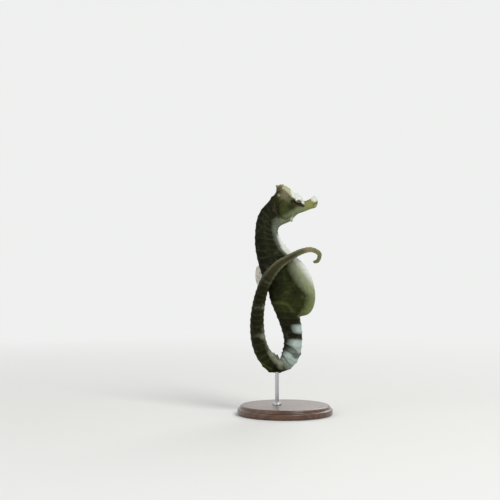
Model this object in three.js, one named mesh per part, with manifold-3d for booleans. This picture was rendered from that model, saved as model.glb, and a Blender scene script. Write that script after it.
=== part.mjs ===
// A male pot-bellied seahorse at life size, held clear of a round base by one short rod.
// Millimetres, +Z up. The animal faces +X and its middle plane is Y = 0, apart from the free tail, which
// swings out to -Y and passes across the trunk. The origin is the centre of the base's underside.
import * as THREE from "three";
import { mergeVertices } from "three/addons/utils/BufferGeometryUtils.js";
import Module from "manifold-3d";

const wasm = await Module();
wasm.setup();

// ---- Driving dimensions ---------------------------------------------------------------------------------

const CLEARANCE = 0.3; // gap between neighbouring pieces
const SIDES = 16; // sides of every body section
const STEPS_PER_STATION = 3; // sections made for each station of the tables

const BASE = { radius: 30, height: 6, edge: 1.2, facets: 48 };
const ROD = { x: -5.0, radius: 1.2, foot: 2.5, top: 28.4, facets: 16 };
const ROD_PLACE = [ROD.x, 0, 0];
const COLLAR = { radius: 2.9, height: 1.4, facets: 28 };

// The head, trunk and tail root in the middle plane, nose first.
// Each row: x and z on the back, x and z on the belly, half the width.
const BODY_STATIONS = [
  [20.8, 134.9, 20.5, 131.9, 0.6], // lips
  [18.9, 137.8, 19.2, 130.1, 2.0], // swollen end of the snout
  [15.4, 135.6, 16.3, 129.2, 2.0], // waist of the snout
  [12.0, 134.6, 12.3, 127.6, 2.5], // root of the snout
  [9.1, 137.2, 9.1, 126.5, 3.3], // front of the eyes
  [4.9, 140.2, 6.8, 125.0, 4.2], // behind the eyes
  [0.9, 142.8, 3.9, 121.9, 4.5], // cheek spines
  [-3.6, 142.0, 1.0, 120.4, 4.7], // under the coronet
  [-6.8, 138.4, -1.8, 119.2, 4.4], // back of the head
  [-11.0, 133.5, -3.2, 118.2, 4.2], // nape
  [-15.2, 128.7, -4.4, 116.4, 4.2],
  [-17.9, 122.4, -4.3, 113.8, 4.4], // arch of the neck
  [-19.0, 113.6, -2.7, 110.2, 4.8],
  [-18.9, 105.4, 1.0, 105.6, 5.4], // chest
  [-17.3, 96.6, 5.0, 100.3, 6.2],
  [-14.7, 87.7, 7.3, 92.2, 6.7], // dorsal fin
  [-11.2, 79.5, 7.8, 80.8, 6.7], // end of the trunk
  [-9.3, 71.4, 8.2, 70.7, 6.2],
  [-6.0, 63.5, 9.1, 62.2, 5.8], // under the pouch
  [-3.0, 55.6, 10.5, 55.6, 5.6],
];

// The free tail, which loops under the animal, climbs behind it and crosses the trunk on the -Y side.
// Each row: x, y and z of the centre, radius.
const TAIL_STATIONS = [
  [5.0, 0.0, 46.8, 5.9],
  [3.9, 0.0, 38.4, 5.1],
  [-0.7, 0.0, 31.6, 4.5], // lowest part of the loop
  [-7.0, 0.0, 31.9, 5.1],
  [-12.9, -0.1, 37.2, 5.0],
  [-16.2, -0.5, 44.6, 4.8],
  [-17.5, -1.0, 53.1, 4.6],
  [-17.5, -1.9, 61.9, 4.3],
  [-16.3, -3.5, 70.7, 4.0],
  [-14.0, -6.7, 79.5, 3.7],
  [-10.1, -10.1, 87.4, 3.8], // start of the crossing
  [-4.3, -11.0, 94.2, 3.2],
  [2.8, -10.0, 98.8, 2.3],
  [9.6, -8.6, 102.4, 1.8],
  [16.2, -6.9, 103.7, 1.5],
  [21.2, -5.2, 101.2, 1.3], // hook at the tip
  [20.6, -3.2, 97.0, 1.0],
  [17.8, -1.8, 95.7, 0.5],
];

// The tail turns half round about its own line, so that its belly side faces in where it coils.
const TWIST = { from: 19.5, to: 24.5, angle: -Math.PI };

// Lengths of the animal, each from one station to another. Station 0 is the lips.
const LENGTHS = [
  ["mouth", 0, 1.5],
  ["snout", 1.5, 3.3],
  ["head", 3.3, 9],
  ["neck", 9, 12],
  ["trunk_upper", 12, 14.5],
  ["trunk_lower", 14.5, 17],
  ["tail_root", 17, 19.5],
  ["tail_front_limb", 19.5, 21.3],
  ["tail_loop_front", 21.3, 23.5],
  ["tail_loop_back", 23.5, 25],
  ["tail_back_limb_lower", 25, 27.5],
  ["tail_back_limb_upper", 27.5, 30],
  ["tail_crossing", 30, 32.5],
  ["tail_end", 32.5, 34.3],
  ["tail_tip", 34.3, 37],
];

const POUCH = { x: 7.0, z: 81.2, long: 20.1, deep: 11.2, wide: 8.2, lean: THREE.MathUtils.degToRad(18.9) };
const EYE = { x: 8.1, y: 3.1, z: 135.0, radius: 2.5 };
const ORBIT = { x: 7.9, y: 2.0, z: 135.4, radius: 3.2 };
const BROW_SPINE = { x: 7.6, y: 1.9, z: 138.2, radius: 1.0, length: 2.3 };
const CHEEK_SPINE = { x: 4.1, y: 2.3, z: 122.6, radius: 1.1, length: 2.0 };
const GILL_COVER = { x: 0.2, y: 3.4, z: 129.0, long: 4.7, tall: 5.8, thick: 1.9 };
const CORONET = { x: -2.9, z: 140.9, height: 3.9, foot: 2.3, crown: 2.6, lobes: 5, lobe: 0.14, lean: 0.14 };
const PECTORAL_FIN = { x: -4.4, y: 4.2, z: 129.6, length: 4.6, spread: 1.25, flare: 0.45, thickness: 0.5 };
const DORSAL_FIN = { from: 14.3, to: 16.15, height: 4.6, sweep: 0.55, root: 1.0, thickness: 0.6 };
const ANAL_FIN = { station: 13.9, length: 3.2, width: 2.6, thickness: 0.5 };

// ---- Solids ---------------------------------------------------------------------------------------------

function solidFrom(geometry) {
  const bare = geometry.clone();
  bare.deleteAttribute("normal");
  bare.deleteAttribute("uv");
  const merged = mergeVertices(bare, 1e-4);
  const vertProperties = merged.attributes.position.array;
  const triVerts = new Uint32Array(merged.index.array);
  return new wasm.Manifold(new wasm.Mesh({ numProp: 3, vertProperties, triVerts }));
}

function geometryFrom(solid) {
  const mesh = solid.getMesh();
  const geometry = new THREE.BufferGeometry();
  geometry.setAttribute("position", new THREE.BufferAttribute(mesh.vertProperties, 3));
  geometry.setIndex(new THREE.BufferAttribute(mesh.triVerts, 1));
  geometry.computeVertexNormals();
  return geometry;
}

function ellipsoid(centre, radii, lean = 0, columns = 18, rows = 11) {
  const geometry = new THREE.SphereGeometry(1, columns, rows);
  geometry.scale(...radii);
  geometry.rotateY(lean);
  geometry.translate(...centre);
  return solidFrom(geometry);
}

// A cone that points along the given direction, its foot sunk below its place.
function spine(place, direction, radius, length) {
  const geometry = new THREE.ConeGeometry(radius, length, 8);
  geometry.translate(0, length / 2 - radius / 2, 0);
  geometry.applyQuaternion(
    new THREE.Quaternion().setFromUnitVectors(new THREE.Vector3(0, 1, 0), direction.clone().normalize()),
  );
  geometry.translate(...place);
  return solidFrom(geometry);
}

// ---- The body as one line of sections -------------------------------------------------------------------

// Each section is a centre, a half vector to the belly side and a half vector to the +Y side.
function bodySections() {
  return BODY_STATIONS.map(([backX, backZ, bellyX, bellyZ, halfWidth]) => ({
    centre: new THREE.Vector3((backX + bellyX) / 2, 0, (backZ + bellyZ) / 2),
    belly: new THREE.Vector3((bellyX - backX) / 2, 0, (bellyZ - backZ) / 2),
    side: new THREE.Vector3(0, halfWidth, 0),
  }));
}

function tailSections() {
  const places = TAIL_STATIONS.map(([x, y, z]) => new THREE.Vector3(x, y, z));
  const last = places.length - 1;
  return TAIL_STATIONS.map((row, i) => {
    const ahead = places[Math.min(i + 1, last)];
    const behind = places[Math.max(i - 1, 0)];
    const along = ahead.clone().sub(behind).normalize();
    const belly = along.clone().cross(new THREE.Vector3(0, 1, 0)).normalize();
    const side = belly.clone().cross(along);
    return { centre: places[i], belly: belly.multiplyScalar(row[3]), side: side.multiplyScalar(row[3]) };
  });
}

const sections = [...bodySections(), ...tailSections()];
const LAST_STATION = sections.length - 1;
const lines = Object.fromEntries(
  ["centre", "belly", "side"].map((key) => [
    key,
    new THREE.CatmullRomCurve3(sections.map((section) => section[key]), false, "catmullrom", 0.5),
  ]),
);

function lineAt(key, station) {
  return lines[key].getPoint(THREE.MathUtils.clamp(station / LAST_STATION, 0, 1));
}

// Share of the squarer tail outline at a station, from 0 on the trunk to 1 on the tail.
function tailShare(station) {
  return THREE.MathUtils.smoothstep(station, 15, 20);
}

// A point on the body: the section is an ellipse on the trunk and a rounded square on the tail.
function bodyPoint(station, angle, swell) {
  const turned = angle + TWIST.angle * THREE.MathUtils.smoothstep(station, TWIST.from, TWIST.to);
  const power = 2.15 + 0.55 * tailShare(station);
  const round = (Math.abs(Math.cos(angle)) ** power + Math.abs(Math.sin(angle)) ** power) ** (-1 / power);
  const arm = lineAt("belly", station)
    .multiplyScalar(round * Math.cos(turned))
    .addScaledVector(lineAt("side", station), round * Math.sin(turned));
  return lineAt("centre", station).addScaledVector(arm, 1 + swell / arm.length());
}

// A closed length of the body between two stations.
function bodyLength(from, to, swell = 0) {
  const rings = Math.max(3, Math.ceil((to - from) * STEPS_PER_STATION)) + 1;
  const positions = [];
  const index = [];
  for (let i = 0; i < rings; i++) {
    const station = THREE.MathUtils.lerp(from, to, i / (rings - 1));
    for (let j = 0; j < SIDES; j++) {
      positions.push(...bodyPoint(station, (j / SIDES) * 2 * Math.PI, swell));
    }
  }
  const startCentre = rings * SIDES;
  positions.push(...lineAt("centre", from), ...lineAt("centre", to));
  for (let j = 0; j < SIDES; j++) {
    const next = (j + 1) % SIDES;
    for (let i = 0; i < rings - 1; i++) {
      const here = i * SIDES;
      const beyond = here + SIDES;
      index.push(here + j, beyond + j, beyond + next, here + j, beyond + next, here + next);
    }
    const end = (rings - 1) * SIDES;
    index.push(startCentre, j, next, startCentre + 1, end + next, end + j);
  }
  const geometry = new THREE.BufferGeometry();
  geometry.setAttribute("position", new THREE.Float32BufferAttribute(positions, 3));
  geometry.setIndex(index);
  return solidFrom(geometry);
}

// How far along the table half the clearance is, at a station.
function halfGap(station) {
  const step = 0.01;
  const span = lineAt("centre", station + step).distanceTo(lineAt("centre", station - step));
  return (CLEARANCE / 2) * ((2 * step) / span);
}

function partedLength([, from, to]) {
  const start = from === 0 ? from : from + halfGap(from);
  const end = to === LAST_STATION ? to : to - halfGap(to);
  return bodyLength(start, end);
}

// ---- Sub-parts ------------------------------------------------------------------------------------------

const SIDE_SIGNS = { left: 1, right: -1 }; // the animal's left is +Y

function eyePlace(sign) {
  return [EYE.x, sign * EYE.y, EYE.z];
}

function eyeball(swell = 0) {
  const radius = EYE.radius + swell;
  return ellipsoid([0, 0, 0], [radius, radius, radius]);
}

function gillCover(sign, swell = 0) {
  const radii = [GILL_COVER.long + swell, GILL_COVER.thick + swell, GILL_COVER.tall + swell];
  return ellipsoid([GILL_COVER.x, sign * GILL_COVER.y, GILL_COVER.z], radii);
}

// A low crown, wider at its rim than at its foot, with blunt lobes round the rim.
function coronet(swell = 0) {
  const columns = 30;
  const profile = [
    [0, 0],
    [CORONET.foot, 0],
    [CORONET.foot * 0.86, 0.55],
    [CORONET.crown, 0.92],
    [CORONET.crown * 0.75, 1],
    [0, 0.94],
  ].map(([radius, share]) => new THREE.Vector2(radius, share * CORONET.height));
  const geometry = new THREE.LatheGeometry(profile, columns);
  const position = geometry.attributes.position;
  for (let i = 0; i < position.count; i++) {
    const [x, y, z] = [position.getX(i), position.getY(i), position.getZ(i)];
    const radius = Math.hypot(x, z);
    const rim = (y / CORONET.height) ** 2;
    const lobed = 1 + CORONET.lobe * rim * Math.cos(CORONET.lobes * Math.atan2(z, x));
    const grown = radius > 0 ? lobed * (1 + swell / radius) : 1;
    position.setXYZ(i, x * grown, y + (y > 0 ? swell : -swell), z * grown);
  }
  geometry.rotateX(Math.PI / 2);
  geometry.rotateY(-CORONET.lean);
  geometry.translate(CORONET.x, 0, CORONET.z);
  return solidFrom(geometry);
}

function head(whole) {
  let solid = whole;
  const orbitRadii = [ORBIT.radius, ORBIT.radius, ORBIT.radius];
  for (const sign of Object.values(SIDE_SIGNS)) {
    solid = solid
      .add(ellipsoid([ORBIT.x, sign * ORBIT.y, ORBIT.z], orbitRadii, 0, 14, 10))
      .add(
        spine(
          [BROW_SPINE.x, sign * BROW_SPINE.y, BROW_SPINE.z],
          new THREE.Vector3(-0.05, sign * 0.15, 1),
          BROW_SPINE.radius,
          BROW_SPINE.length,
        ),
      )
      .add(
        spine(
          [CHEEK_SPINE.x, sign * CHEEK_SPINE.y, CHEEK_SPINE.z],
          new THREE.Vector3(0.1, sign * 0.45, -1),
          CHEEK_SPINE.radius,
          CHEEK_SPINE.length,
        ),
      );
  }
  for (const sign of Object.values(SIDE_SIGNS)) {
    const socket = eyeball(CLEARANCE).translate(eyePlace(sign));
    solid = solid.subtract(socket).subtract(gillCover(sign, CLEARANCE));
  }
  return solid.subtract(coronet(CLEARANCE));
}

function wholePouch(swell = 0) {
  const radii = [POUCH.deep + swell, POUCH.wide + swell, POUCH.long + swell];
  return ellipsoid([POUCH.x, 0, POUCH.z], radii, -POUCH.lean, 28, 20);
}

function pouch() {
  return wholePouch().subtract(bodyLength(12, 20, CLEARANCE));
}

// A thin plate whose outline is drawn in the middle plane, as x and z pairs.
function plate(outline, thickness) {
  const shape = new THREE.Shape(outline.map(([x, z]) => new THREE.Vector2(x, z)));
  const geometry = new THREE.ExtrudeGeometry(shape, { depth: thickness, bevelEnabled: false });
  geometry.translate(0, 0, -thickness / 2);
  geometry.rotateX(Math.PI / 2);
  return solidFrom(geometry);
}

// The dorsal fin: a fan along the back whose rays sweep down towards the tail.
function dorsalFin() {
  const count = 14;
  const inner = [];
  const outer = [];
  for (let i = 0; i <= count; i++) {
    const share = i / count;
    const station = THREE.MathUtils.lerp(DORSAL_FIN.from, DORSAL_FIN.to, share);
    const out = lineAt("belly", station).negate();
    const root = lineAt("centre", station).add(out);
    out.normalize();
    const down = lineAt("centre", station + 0.1).sub(lineAt("centre", station - 0.1)).normalize();
    const height = DORSAL_FIN.height * Math.sin(Math.PI * (0.12 + 0.8 * share)) ** 0.6;
    const tip = root.clone().addScaledVector(out, height).addScaledVector(down, height * DORSAL_FIN.sweep);
    root.addScaledVector(out, -DORSAL_FIN.root);
    inner.push([root.x, root.z]);
    outer.push([tip.x, tip.z]);
  }
  const solid = plate([...inner, ...outer.reverse()], DORSAL_FIN.thickness);
  return solid.subtract(bodyLength(13, 17.5, CLEARANCE));
}

// A pectoral fin: a small fan behind the gill opening, standing a little off the neck.
function pectoralFin(sign) {
  const rays = 10;
  const outline = [[0, 0.35], [0, -0.35]];
  for (let i = 0; i <= rays; i++) {
    const angle = PECTORAL_FIN.spread * (1 - (2 * i) / rays);
    const reach = PECTORAL_FIN.length * (0.92 + 0.08 * Math.cos(2 * angle));
    outline.push([-reach * Math.cos(angle), -reach * Math.sin(angle)]);
  }
  const geometry = geometryFrom(plate(outline, PECTORAL_FIN.thickness));
  geometry.rotateZ(-sign * PECTORAL_FIN.flare);
  geometry.translate(PECTORAL_FIN.x, sign * (PECTORAL_FIN.y + PECTORAL_FIN.thickness), PECTORAL_FIN.z);
  return solidFrom(geometry)
    .subtract(bodyLength(6, 13, CLEARANCE))
    .subtract(gillCover(sign, CLEARANCE));
}

// The anal fin: a short blade at the vent, just above the pouch.
function analFin() {
  const root = lineAt("centre", ANAL_FIN.station).add(lineAt("belly", ANAL_FIN.station));
  const outline = [
    [root.x - 1.2, root.z + ANAL_FIN.width / 2],
    [root.x - 1.2, root.z - ANAL_FIN.width / 2],
    [root.x + ANAL_FIN.length * 0.8, root.z - ANAL_FIN.width * 0.45],
    [root.x + ANAL_FIN.length, root.z],
    [root.x + ANAL_FIN.length * 0.8, root.z + ANAL_FIN.width * 0.45],
  ];
  return plate(outline, ANAL_FIN.thickness)
    .subtract(bodyLength(12, 17, CLEARANCE))
    .subtract(wholePouch(CLEARANCE));
}

// A cylinder along Z between two heights, about the line x = 0, y = 0.
function upright(radius, from, to, facets) {
  const geometry = new THREE.CylinderGeometry(radius, radius, to - from, facets);
  geometry.rotateX(Math.PI / 2);
  geometry.translate(0, 0, (from + to) / 2);
  return solidFrom(geometry);
}

function standBase() {
  const { radius, height, edge, facets } = BASE;
  const profile = [
    [0, 0],
    [radius - edge / 2, 0],
    [radius, edge / 2],
    [radius, height - edge],
    [radius - edge * 0.3, height - edge * 0.3],
    [radius - edge, height],
    [0, height],
  ].map(([x, y]) => new THREE.Vector2(x, y));
  const geometry = new THREE.LatheGeometry(profile, facets);
  geometry.rotateX(Math.PI / 2);
  const hole = upright(ROD.radius + CLEARANCE, ROD.foot - CLEARANCE, height + 1, ROD.facets);
  return solidFrom(geometry).subtract(hole.translate(ROD_PLACE));
}

function standRod(swell = 0) {
  return upright(ROD.radius + swell, ROD.foot, ROD.top + swell, ROD.facets);
}

function standCollar() {
  const foot = BASE.height + CLEARANCE;
  const ring = upright(COLLAR.radius, foot, foot + COLLAR.height, COLLAR.facets);
  return ring.subtract(upright(ROD.radius + CLEARANCE, foot - 1, foot + COLLAR.height + 1, ROD.facets));
}

// ---- The model ------------------------------------------------------------------------------------------

function finish(color, roughness, metalness = 0) {
  return new THREE.MeshStandardMaterial({ color, roughness, metalness });
}

const finishes = {
  dark: finish(0x4a4630, 0.55),
  cream: finish(0xb9bd9c, 0.5),
  olive: finish(0x6b6d45, 0.5),
  fin: finish(0x8d8a68, 0.4),
  eye: finish(0x1c1a14, 0.1),
  wood: finish(0x4b3322, 0.45),
  steel: finish(0xb8bcc0, 0.3, 1),
};

const model = new THREE.Group();

function show(name, solid, material, place = [0, 0, 0]) {
  const mesh = new THREE.Mesh(geometryFrom(solid), material);
  mesh.name = name;
  mesh.position.set(...place);
  model.add(mesh);
}

const shaping = {
  head,
  tail_loop_front: (solid) => solid.subtract(standRod(CLEARANCE).translate(ROD_PLACE)),
};

for (const length of LENGTHS) {
  const [name] = length;
  const whole = partedLength(length);
  const shaped = shaping[name] ? shaping[name](whole) : whole;
  show(name, shaped, name.startsWith("trunk") ? finishes.dark : finishes.olive);
}
for (const [side, sign] of Object.entries(SIDE_SIGNS)) {
  show(`eye_${side}`, eyeball(), finishes.eye, eyePlace(sign));
  show(`gill_cover_${side}`, gillCover(sign), finishes.olive);
  show(`fin_pectoral_${side}`, pectoralFin(sign), finishes.fin);
}
show("coronet", coronet(), finishes.cream);
show("pouch", pouch(), finishes.cream);
show("fin_dorsal", dorsalFin(), finishes.fin);
show("fin_anal", analFin(), finishes.fin);
show("stand_base", standBase(), finishes.wood);
show("stand_rod", standRod(), finishes.steel, ROD_PLACE);
show("stand_collar", standCollar(), finishes.steel, ROD_PLACE);

export default model;
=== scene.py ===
"""Builds the looks of a life-size male pot-bellied seahorse on a plain display stand.

The frame gives the animal's solids. One skin takes the place of all its flesh, and the coronet, eyes, fins
and stand are pieces of their own. Lengths in the tables are in millimetres, and MM turns them into the
frame's metres.
"""

import bpy
import numpy as np
from bpy.props import FloatProperty, FloatVectorProperty, IntProperty, PointerProperty
from bpy.types import Operator, Panel, PropertyGroup
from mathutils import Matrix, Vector


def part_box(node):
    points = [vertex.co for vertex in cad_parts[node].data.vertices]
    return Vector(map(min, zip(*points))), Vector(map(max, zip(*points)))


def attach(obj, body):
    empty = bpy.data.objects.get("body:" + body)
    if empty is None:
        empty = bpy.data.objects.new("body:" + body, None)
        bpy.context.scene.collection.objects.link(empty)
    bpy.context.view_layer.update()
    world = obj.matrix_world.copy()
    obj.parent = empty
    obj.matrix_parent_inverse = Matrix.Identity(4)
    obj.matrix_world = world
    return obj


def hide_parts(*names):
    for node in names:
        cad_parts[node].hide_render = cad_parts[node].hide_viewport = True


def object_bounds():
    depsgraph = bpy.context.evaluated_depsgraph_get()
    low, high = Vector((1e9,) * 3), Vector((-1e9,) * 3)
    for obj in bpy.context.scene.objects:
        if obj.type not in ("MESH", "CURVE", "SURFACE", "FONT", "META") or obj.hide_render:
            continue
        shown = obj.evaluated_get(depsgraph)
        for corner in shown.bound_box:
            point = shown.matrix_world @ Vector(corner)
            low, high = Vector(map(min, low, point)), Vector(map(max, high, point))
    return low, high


bl_info = {
    "name": "Pot-bellied Seahorse",
    "version": (1, 0, 0),
    "blender": (4, 5, 0),
    "location": "View3D > Sidebar > Seahorse",
    "description": "Skin, coronet, eyes, fins and display stand of a life-size seahorse",
    "category": "Add Mesh",
}

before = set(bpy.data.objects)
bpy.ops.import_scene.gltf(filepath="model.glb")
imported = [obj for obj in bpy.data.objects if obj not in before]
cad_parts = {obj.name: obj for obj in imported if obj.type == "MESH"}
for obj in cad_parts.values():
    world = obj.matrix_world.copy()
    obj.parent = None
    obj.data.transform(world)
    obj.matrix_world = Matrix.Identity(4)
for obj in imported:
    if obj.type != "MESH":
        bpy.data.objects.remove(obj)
CAD_LOW, CAD_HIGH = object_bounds()
DESIGN_HEIGHT = 145.065  # floor to the top of the coronet, in the tables' millimetres
MM = (CAD_HIGH.z - CAD_LOW.z) / DESIGN_HEIGHT
SIDES = {"left": 1, "right": -1}  # the animal's left is +Y

# ---- Settings ------------------------------------------------------------------------------------------


def colour(red, green, blue):
    """A colour from its everyday 0 to 255 values, as the shaders want it."""
    c = np.array([red, green, blue]) / 255
    linear = np.where(c <= 0.04045, c / 12.92, ((c + 0.055) / 1.055) ** 2.4)
    return (*linear.tolist(), 1.0)


def hue(name, description, red, green, blue):
    """A colour that a user can change."""
    shade = colour(red, green, blue)
    return FloatVectorProperty(
        name=name, description=description, subtype="COLOR", size=4, min=0, max=1, default=shade
    )


def length(name, description, millimetres):
    """A size that a user can change, stored in metres."""
    return FloatProperty(
        name=name, description=description, unit="LENGTH", min=0, precision=5, default=millimetres * MM
    )


class SkinSettings(PropertyGroup):
    """Relief and colours of the skin"""

    ring_height: length("Ring height", "How far each armour ring stands out of the skin", 0.12)
    knob_height: length("Knob height", "How far the knobs stand out where rings and corner lines cross", 0.32)
    pouch_blend: length("Pouch blend", "Width over which the pouch swells out of the trunk", 3.4)
    wrinkle: length("Wrinkle depth", "Depth of the finest wrinkles and pores", 0.14)
    back: hue("Back", "Skin along the back, the darkest", 13, 14, 4)
    flank: hue("Flank", "Skin on the sides of the neck and trunk", 27, 30, 12)
    # Paler lines of the armour: partly their own colour, partly painted highlight on the raised rings.
    ridge_lines_and_highlight: hue("Plate edges", "Faint paler lines between the armour plates", 84, 87, 60)
    tail: hue("Tail", "Brown skin of the tail", 22, 20, 6)
    # Painted shade: this dark green stands for shade on the side of the pouch; the tail's sides take it as
    # their own green.
    belly: hue("Pouch side", "Dark green sides of the pouch", 37, 42, 13)
    cream: hue("Pouch front", "Where the side of the pouch pales", 138, 145, 116)
    rim: hue("Pouch foot", "Yellow-green front of the lower pouch", 124, 134, 86)
    # Painted highlight: the lit front of the neck, the top of the pouch, the brow and the upper lip.
    white: hue("White", "Front of the neck, top of the pouch and the brow", 218, 222, 213)
    # Painted shade on the neck, grading from its dark side to the painted highlight on its front.
    painted_neck_shade: hue("Neck shade", "Between the dark side and the white front of the neck", 102, 109, 95)
    seam: hue("Seam", "Pale line along the rear margin of the pouch", 84, 90, 48)
    cheek: hue("Cheek", "Olive sides of the head", 56, 61, 30)
    temple: hue("Temple", "Beige skin below the coronet", 114, 108, 84)
    jaw: hue("Jaw", "Pale green skin along the jaw and throat", 120, 128, 98)
    crest: hue("Crest", "Cream ridge from the coronet to the brow", 178, 177, 142)
    snout: hue("Snout", "Yellow tube of the snout", 130, 131, 78)
    band: hue("Bands", "White bands on the root of the tail", 164, 179, 171)
    faded_band: hue("Faded bands", "Cream bands further along the tail", 132, 137, 115)
    crossing: hue("Crossing", "Brown tail where it crosses the body", 58, 53, 31)
    arch: hue("Arch", "Olive tail past the crossing", 84, 87, 53)
    blush: hue("Blush", "Tail before its tip", 136, 122, 85)
    tip: hue("Tip", "Tip of the tail", 118, 120, 80)
    # Dark marks on the head and tail, also used for painted shade under the eye, under the coronet's rim and
    # behind the gill cover.
    mark: hue("Dark marks", "Bar through the eye and blotches on the head", 36, 33, 14)


class EyeSettings(PropertyGroup):
    """Size and colours of the eyes"""

    radius: length("Radius", "Radius of the eyeball", 2.45)
    pupil: length("Pupil", "Radius of the pupil", 0.66)
    iris: length("Iris", "Radius of the streaked iris", 1.3)
    # The silver upper half and dark lower half of the eye are painted light on its lit top and painted shade
    # on its underside.
    silver: hue("Silver", "Upper half of the iris", 198, 198, 184)
    shade: hue("Shade", "Lower half of the iris, where the dark bar crosses it", 74, 64, 40)
    ring: hue("Pupil ring", "Thin ring round the pupil", 150, 122, 66)
    black: hue("Pupil", "Black of the pupil", 5, 5, 5)
    # Painted highlight on the lit top of the eyeball round the iris.
    white: hue("Eye white", "Pale skin of the eyeball round the iris", 216, 218, 210)


class CoronetSettings(PropertyGroup):
    """Lobes and colours of the coronet"""

    lobes: IntProperty(name="Lobes", description="Blunt lobes round the coronet", default=5, min=3, max=9)
    lobe_depth: length("Lobe depth", "How far the lobes stand out of the rim", 0.34)
    # Painted shade: the brown sides lie under the coronet's overhanging rim.
    side: hue("Side", "Brown sides of the coronet", 64, 56, 28)
    front: hue("Front", "Beige front of the coronet", 120, 112, 84)
    top: hue("Rim", "Cream rim of the coronet", 134, 132, 86)


class FinSettings(PropertyGroup):
    """Rays, sizes and colours of the fins"""

    dorsal_rays: IntProperty(name="Dorsal rays", description="Rays of the fin on the back", default=27, min=8)
    pectoral_rays: IntProperty(name="Pectoral rays", description="Rays of each cheek fin", default=15, min=8)
    dorsal_height: length("Dorsal height", "Height of the fin on the back", 4.6)
    pectoral_length: length("Pectoral length", "Length of each cheek fin", 4.6)
    thickness: length("Thickness", "Thickness of a fin at its root", 0.5)
    ray: hue("Rays", "Pale rays of the fins", 124, 108, 66)
    membrane: hue("Membrane", "Clear skin between the rays", 160, 142, 90)
    freckle: hue("Freckles", "Dark flecks in the membrane", 64, 52, 28)
    # Painted shade: the cheek fins are painted this dark where they lie in the shade behind the gill cover.
    shaded: hue("Shaded fin", "Clear fin over the dark neck", 24, 24, 12)


class StandSettings(PropertyGroup):
    """Shape and colours of the stand"""

    step: length("Step", "Width of the step round the base's top", 1.6)
    rounding: length("Rounding", "Radius of the base's turned edges", 0.5)
    wood_dark: hue("Dark grain", "Dark grain of the stained wood", 44, 26, 16)
    wood_light: hue("Light grain", "Light grain of the stained wood", 104, 66, 40)
    steel: hue("Steel", "Brushed rod and collar", 178, 180, 183)


class StageSettings(PropertyGroup):
    """Tones and light of the stage"""

    floor: hue("Floor", "Pale matt floor", 235, 235, 232)
    background: hue("Background", "Tone behind the floor", 239, 240, 239)
    lamp_power: FloatProperty(
        name="Lamp power",
        description="Power of the main lamp",
        subtype="POWER",
        unit="POWER",
        default=8.0,
        min=0,
    )


class SeahorseSettings(PropertyGroup):
    """Settings of every step, one group for each operator"""

    skin: PointerProperty(type=SkinSettings, name="Skin", description="Skin of the whole animal")
    eyes: PointerProperty(type=EyeSettings, name="Eyes", description="Both eyes")
    coronet: PointerProperty(type=CoronetSettings, name="Coronet", description="Bony coronet")
    fins: PointerProperty(type=FinSettings, name="Fins", description="Back, vent and cheek fins")
    stand: PointerProperty(type=StandSettings, name="Stand", description="Base, rod and collar")
    stage: PointerProperty(type=StageSettings, name="Stage", description="Floor, lamps and background")


# ---- Line of the body ----------------------------------------------------------------------------------

# Head, trunk and tail root in the middle plane, nose first: x and z on the back, x and z on the belly,
# half the width.
BODY_STATIONS = np.array(
    [
        [20.8, 134.9, 20.5, 131.9, 0.6],
        [18.9, 137.8, 19.2, 130.1, 2.0],
        [15.4, 135.6, 16.3, 129.2, 2.0],
        [12.0, 134.6, 12.3, 127.6, 2.5],
        [9.1, 137.2, 9.1, 126.5, 3.3],
        [4.9, 140.2, 6.8, 125.0, 4.2],
        [0.9, 142.8, 3.9, 121.9, 4.5],
        [-3.6, 142.0, 1.0, 120.4, 4.7],
        [-6.8, 138.4, -1.8, 119.2, 4.4],
        [-11.0, 133.5, -3.2, 118.2, 4.2],
        [-15.2, 128.7, -4.4, 116.4, 4.2],
        [-17.9, 122.4, -4.3, 113.8, 4.4],
        [-19.0, 113.6, -2.7, 110.2, 4.8],
        [-18.9, 105.4, 1.0, 105.6, 5.4],
        [-17.3, 96.6, 5.0, 100.3, 6.2],
        [-14.7, 87.7, 7.3, 92.2, 6.7],
        [-11.2, 79.5, 7.8, 80.8, 6.7],
        [-9.3, 71.4, 8.2, 70.7, 6.2],
        [-6.0, 63.5, 9.1, 62.2, 5.8],
        [-3.0, 55.6, 10.5, 55.6, 5.6],
    ]
)

# The free tail: x, y and z of the centre, radius.
TAIL_STATIONS = np.array(
    [
        [5.0, 0.0, 46.8, 5.9],
        [3.9, 0.0, 38.4, 5.1],
        [-0.7, 0.0, 31.6, 4.5],
        [-7.0, 0.0, 31.9, 5.1],
        [-12.9, -0.1, 37.2, 5.0],
        [-16.2, -0.5, 44.6, 4.8],
        [-17.5, -1.0, 53.1, 4.6],
        [-17.5, -1.9, 61.9, 4.3],
        [-16.3, -3.5, 70.7, 4.0],
        [-14.0, -6.7, 79.5, 3.7],
        [-10.1, -10.1, 87.4, 3.8],
        [-4.3, -11.0, 94.2, 3.2],
        [2.8, -10.0, 98.8, 2.3],
        [9.6, -8.6, 102.4, 1.8],
        [16.2, -6.9, 103.7, 1.5],
        [21.2, -5.2, 101.2, 1.3],
        [20.6, -3.2, 97.0, 1.0],
        [17.8, -1.8, 95.7, 0.5],
    ]
)
LAST = len(BODY_STATIONS) + len(TAIL_STATIONS) - 1
TWIST_FROM, TWIST_TO = 19.5, 24.5  # stations between which the tail turns half round
TRUNK_POWER, TAIL_POWER = 2.15, 2.7  # 2 is an ellipse, and a larger power a squarer section
SQUARED_FROM, SQUARED_TO = 15, 20  # stations between which the power changes


def smooth(low, high, value):
    """An even S-curve from 0 at low to 1 at high."""
    t = np.clip((value - low) / (high - low), 0, 1)
    return t * t * (3 - 2 * t)


def plateau(value, rise_from, rise_to, fall_from, fall_to):
    """1 on a stretch of values, with an S-curve up to it and another down from it."""
    return smooth(rise_from, rise_to, value) * (1 - smooth(fall_from, fall_to, value))


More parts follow.
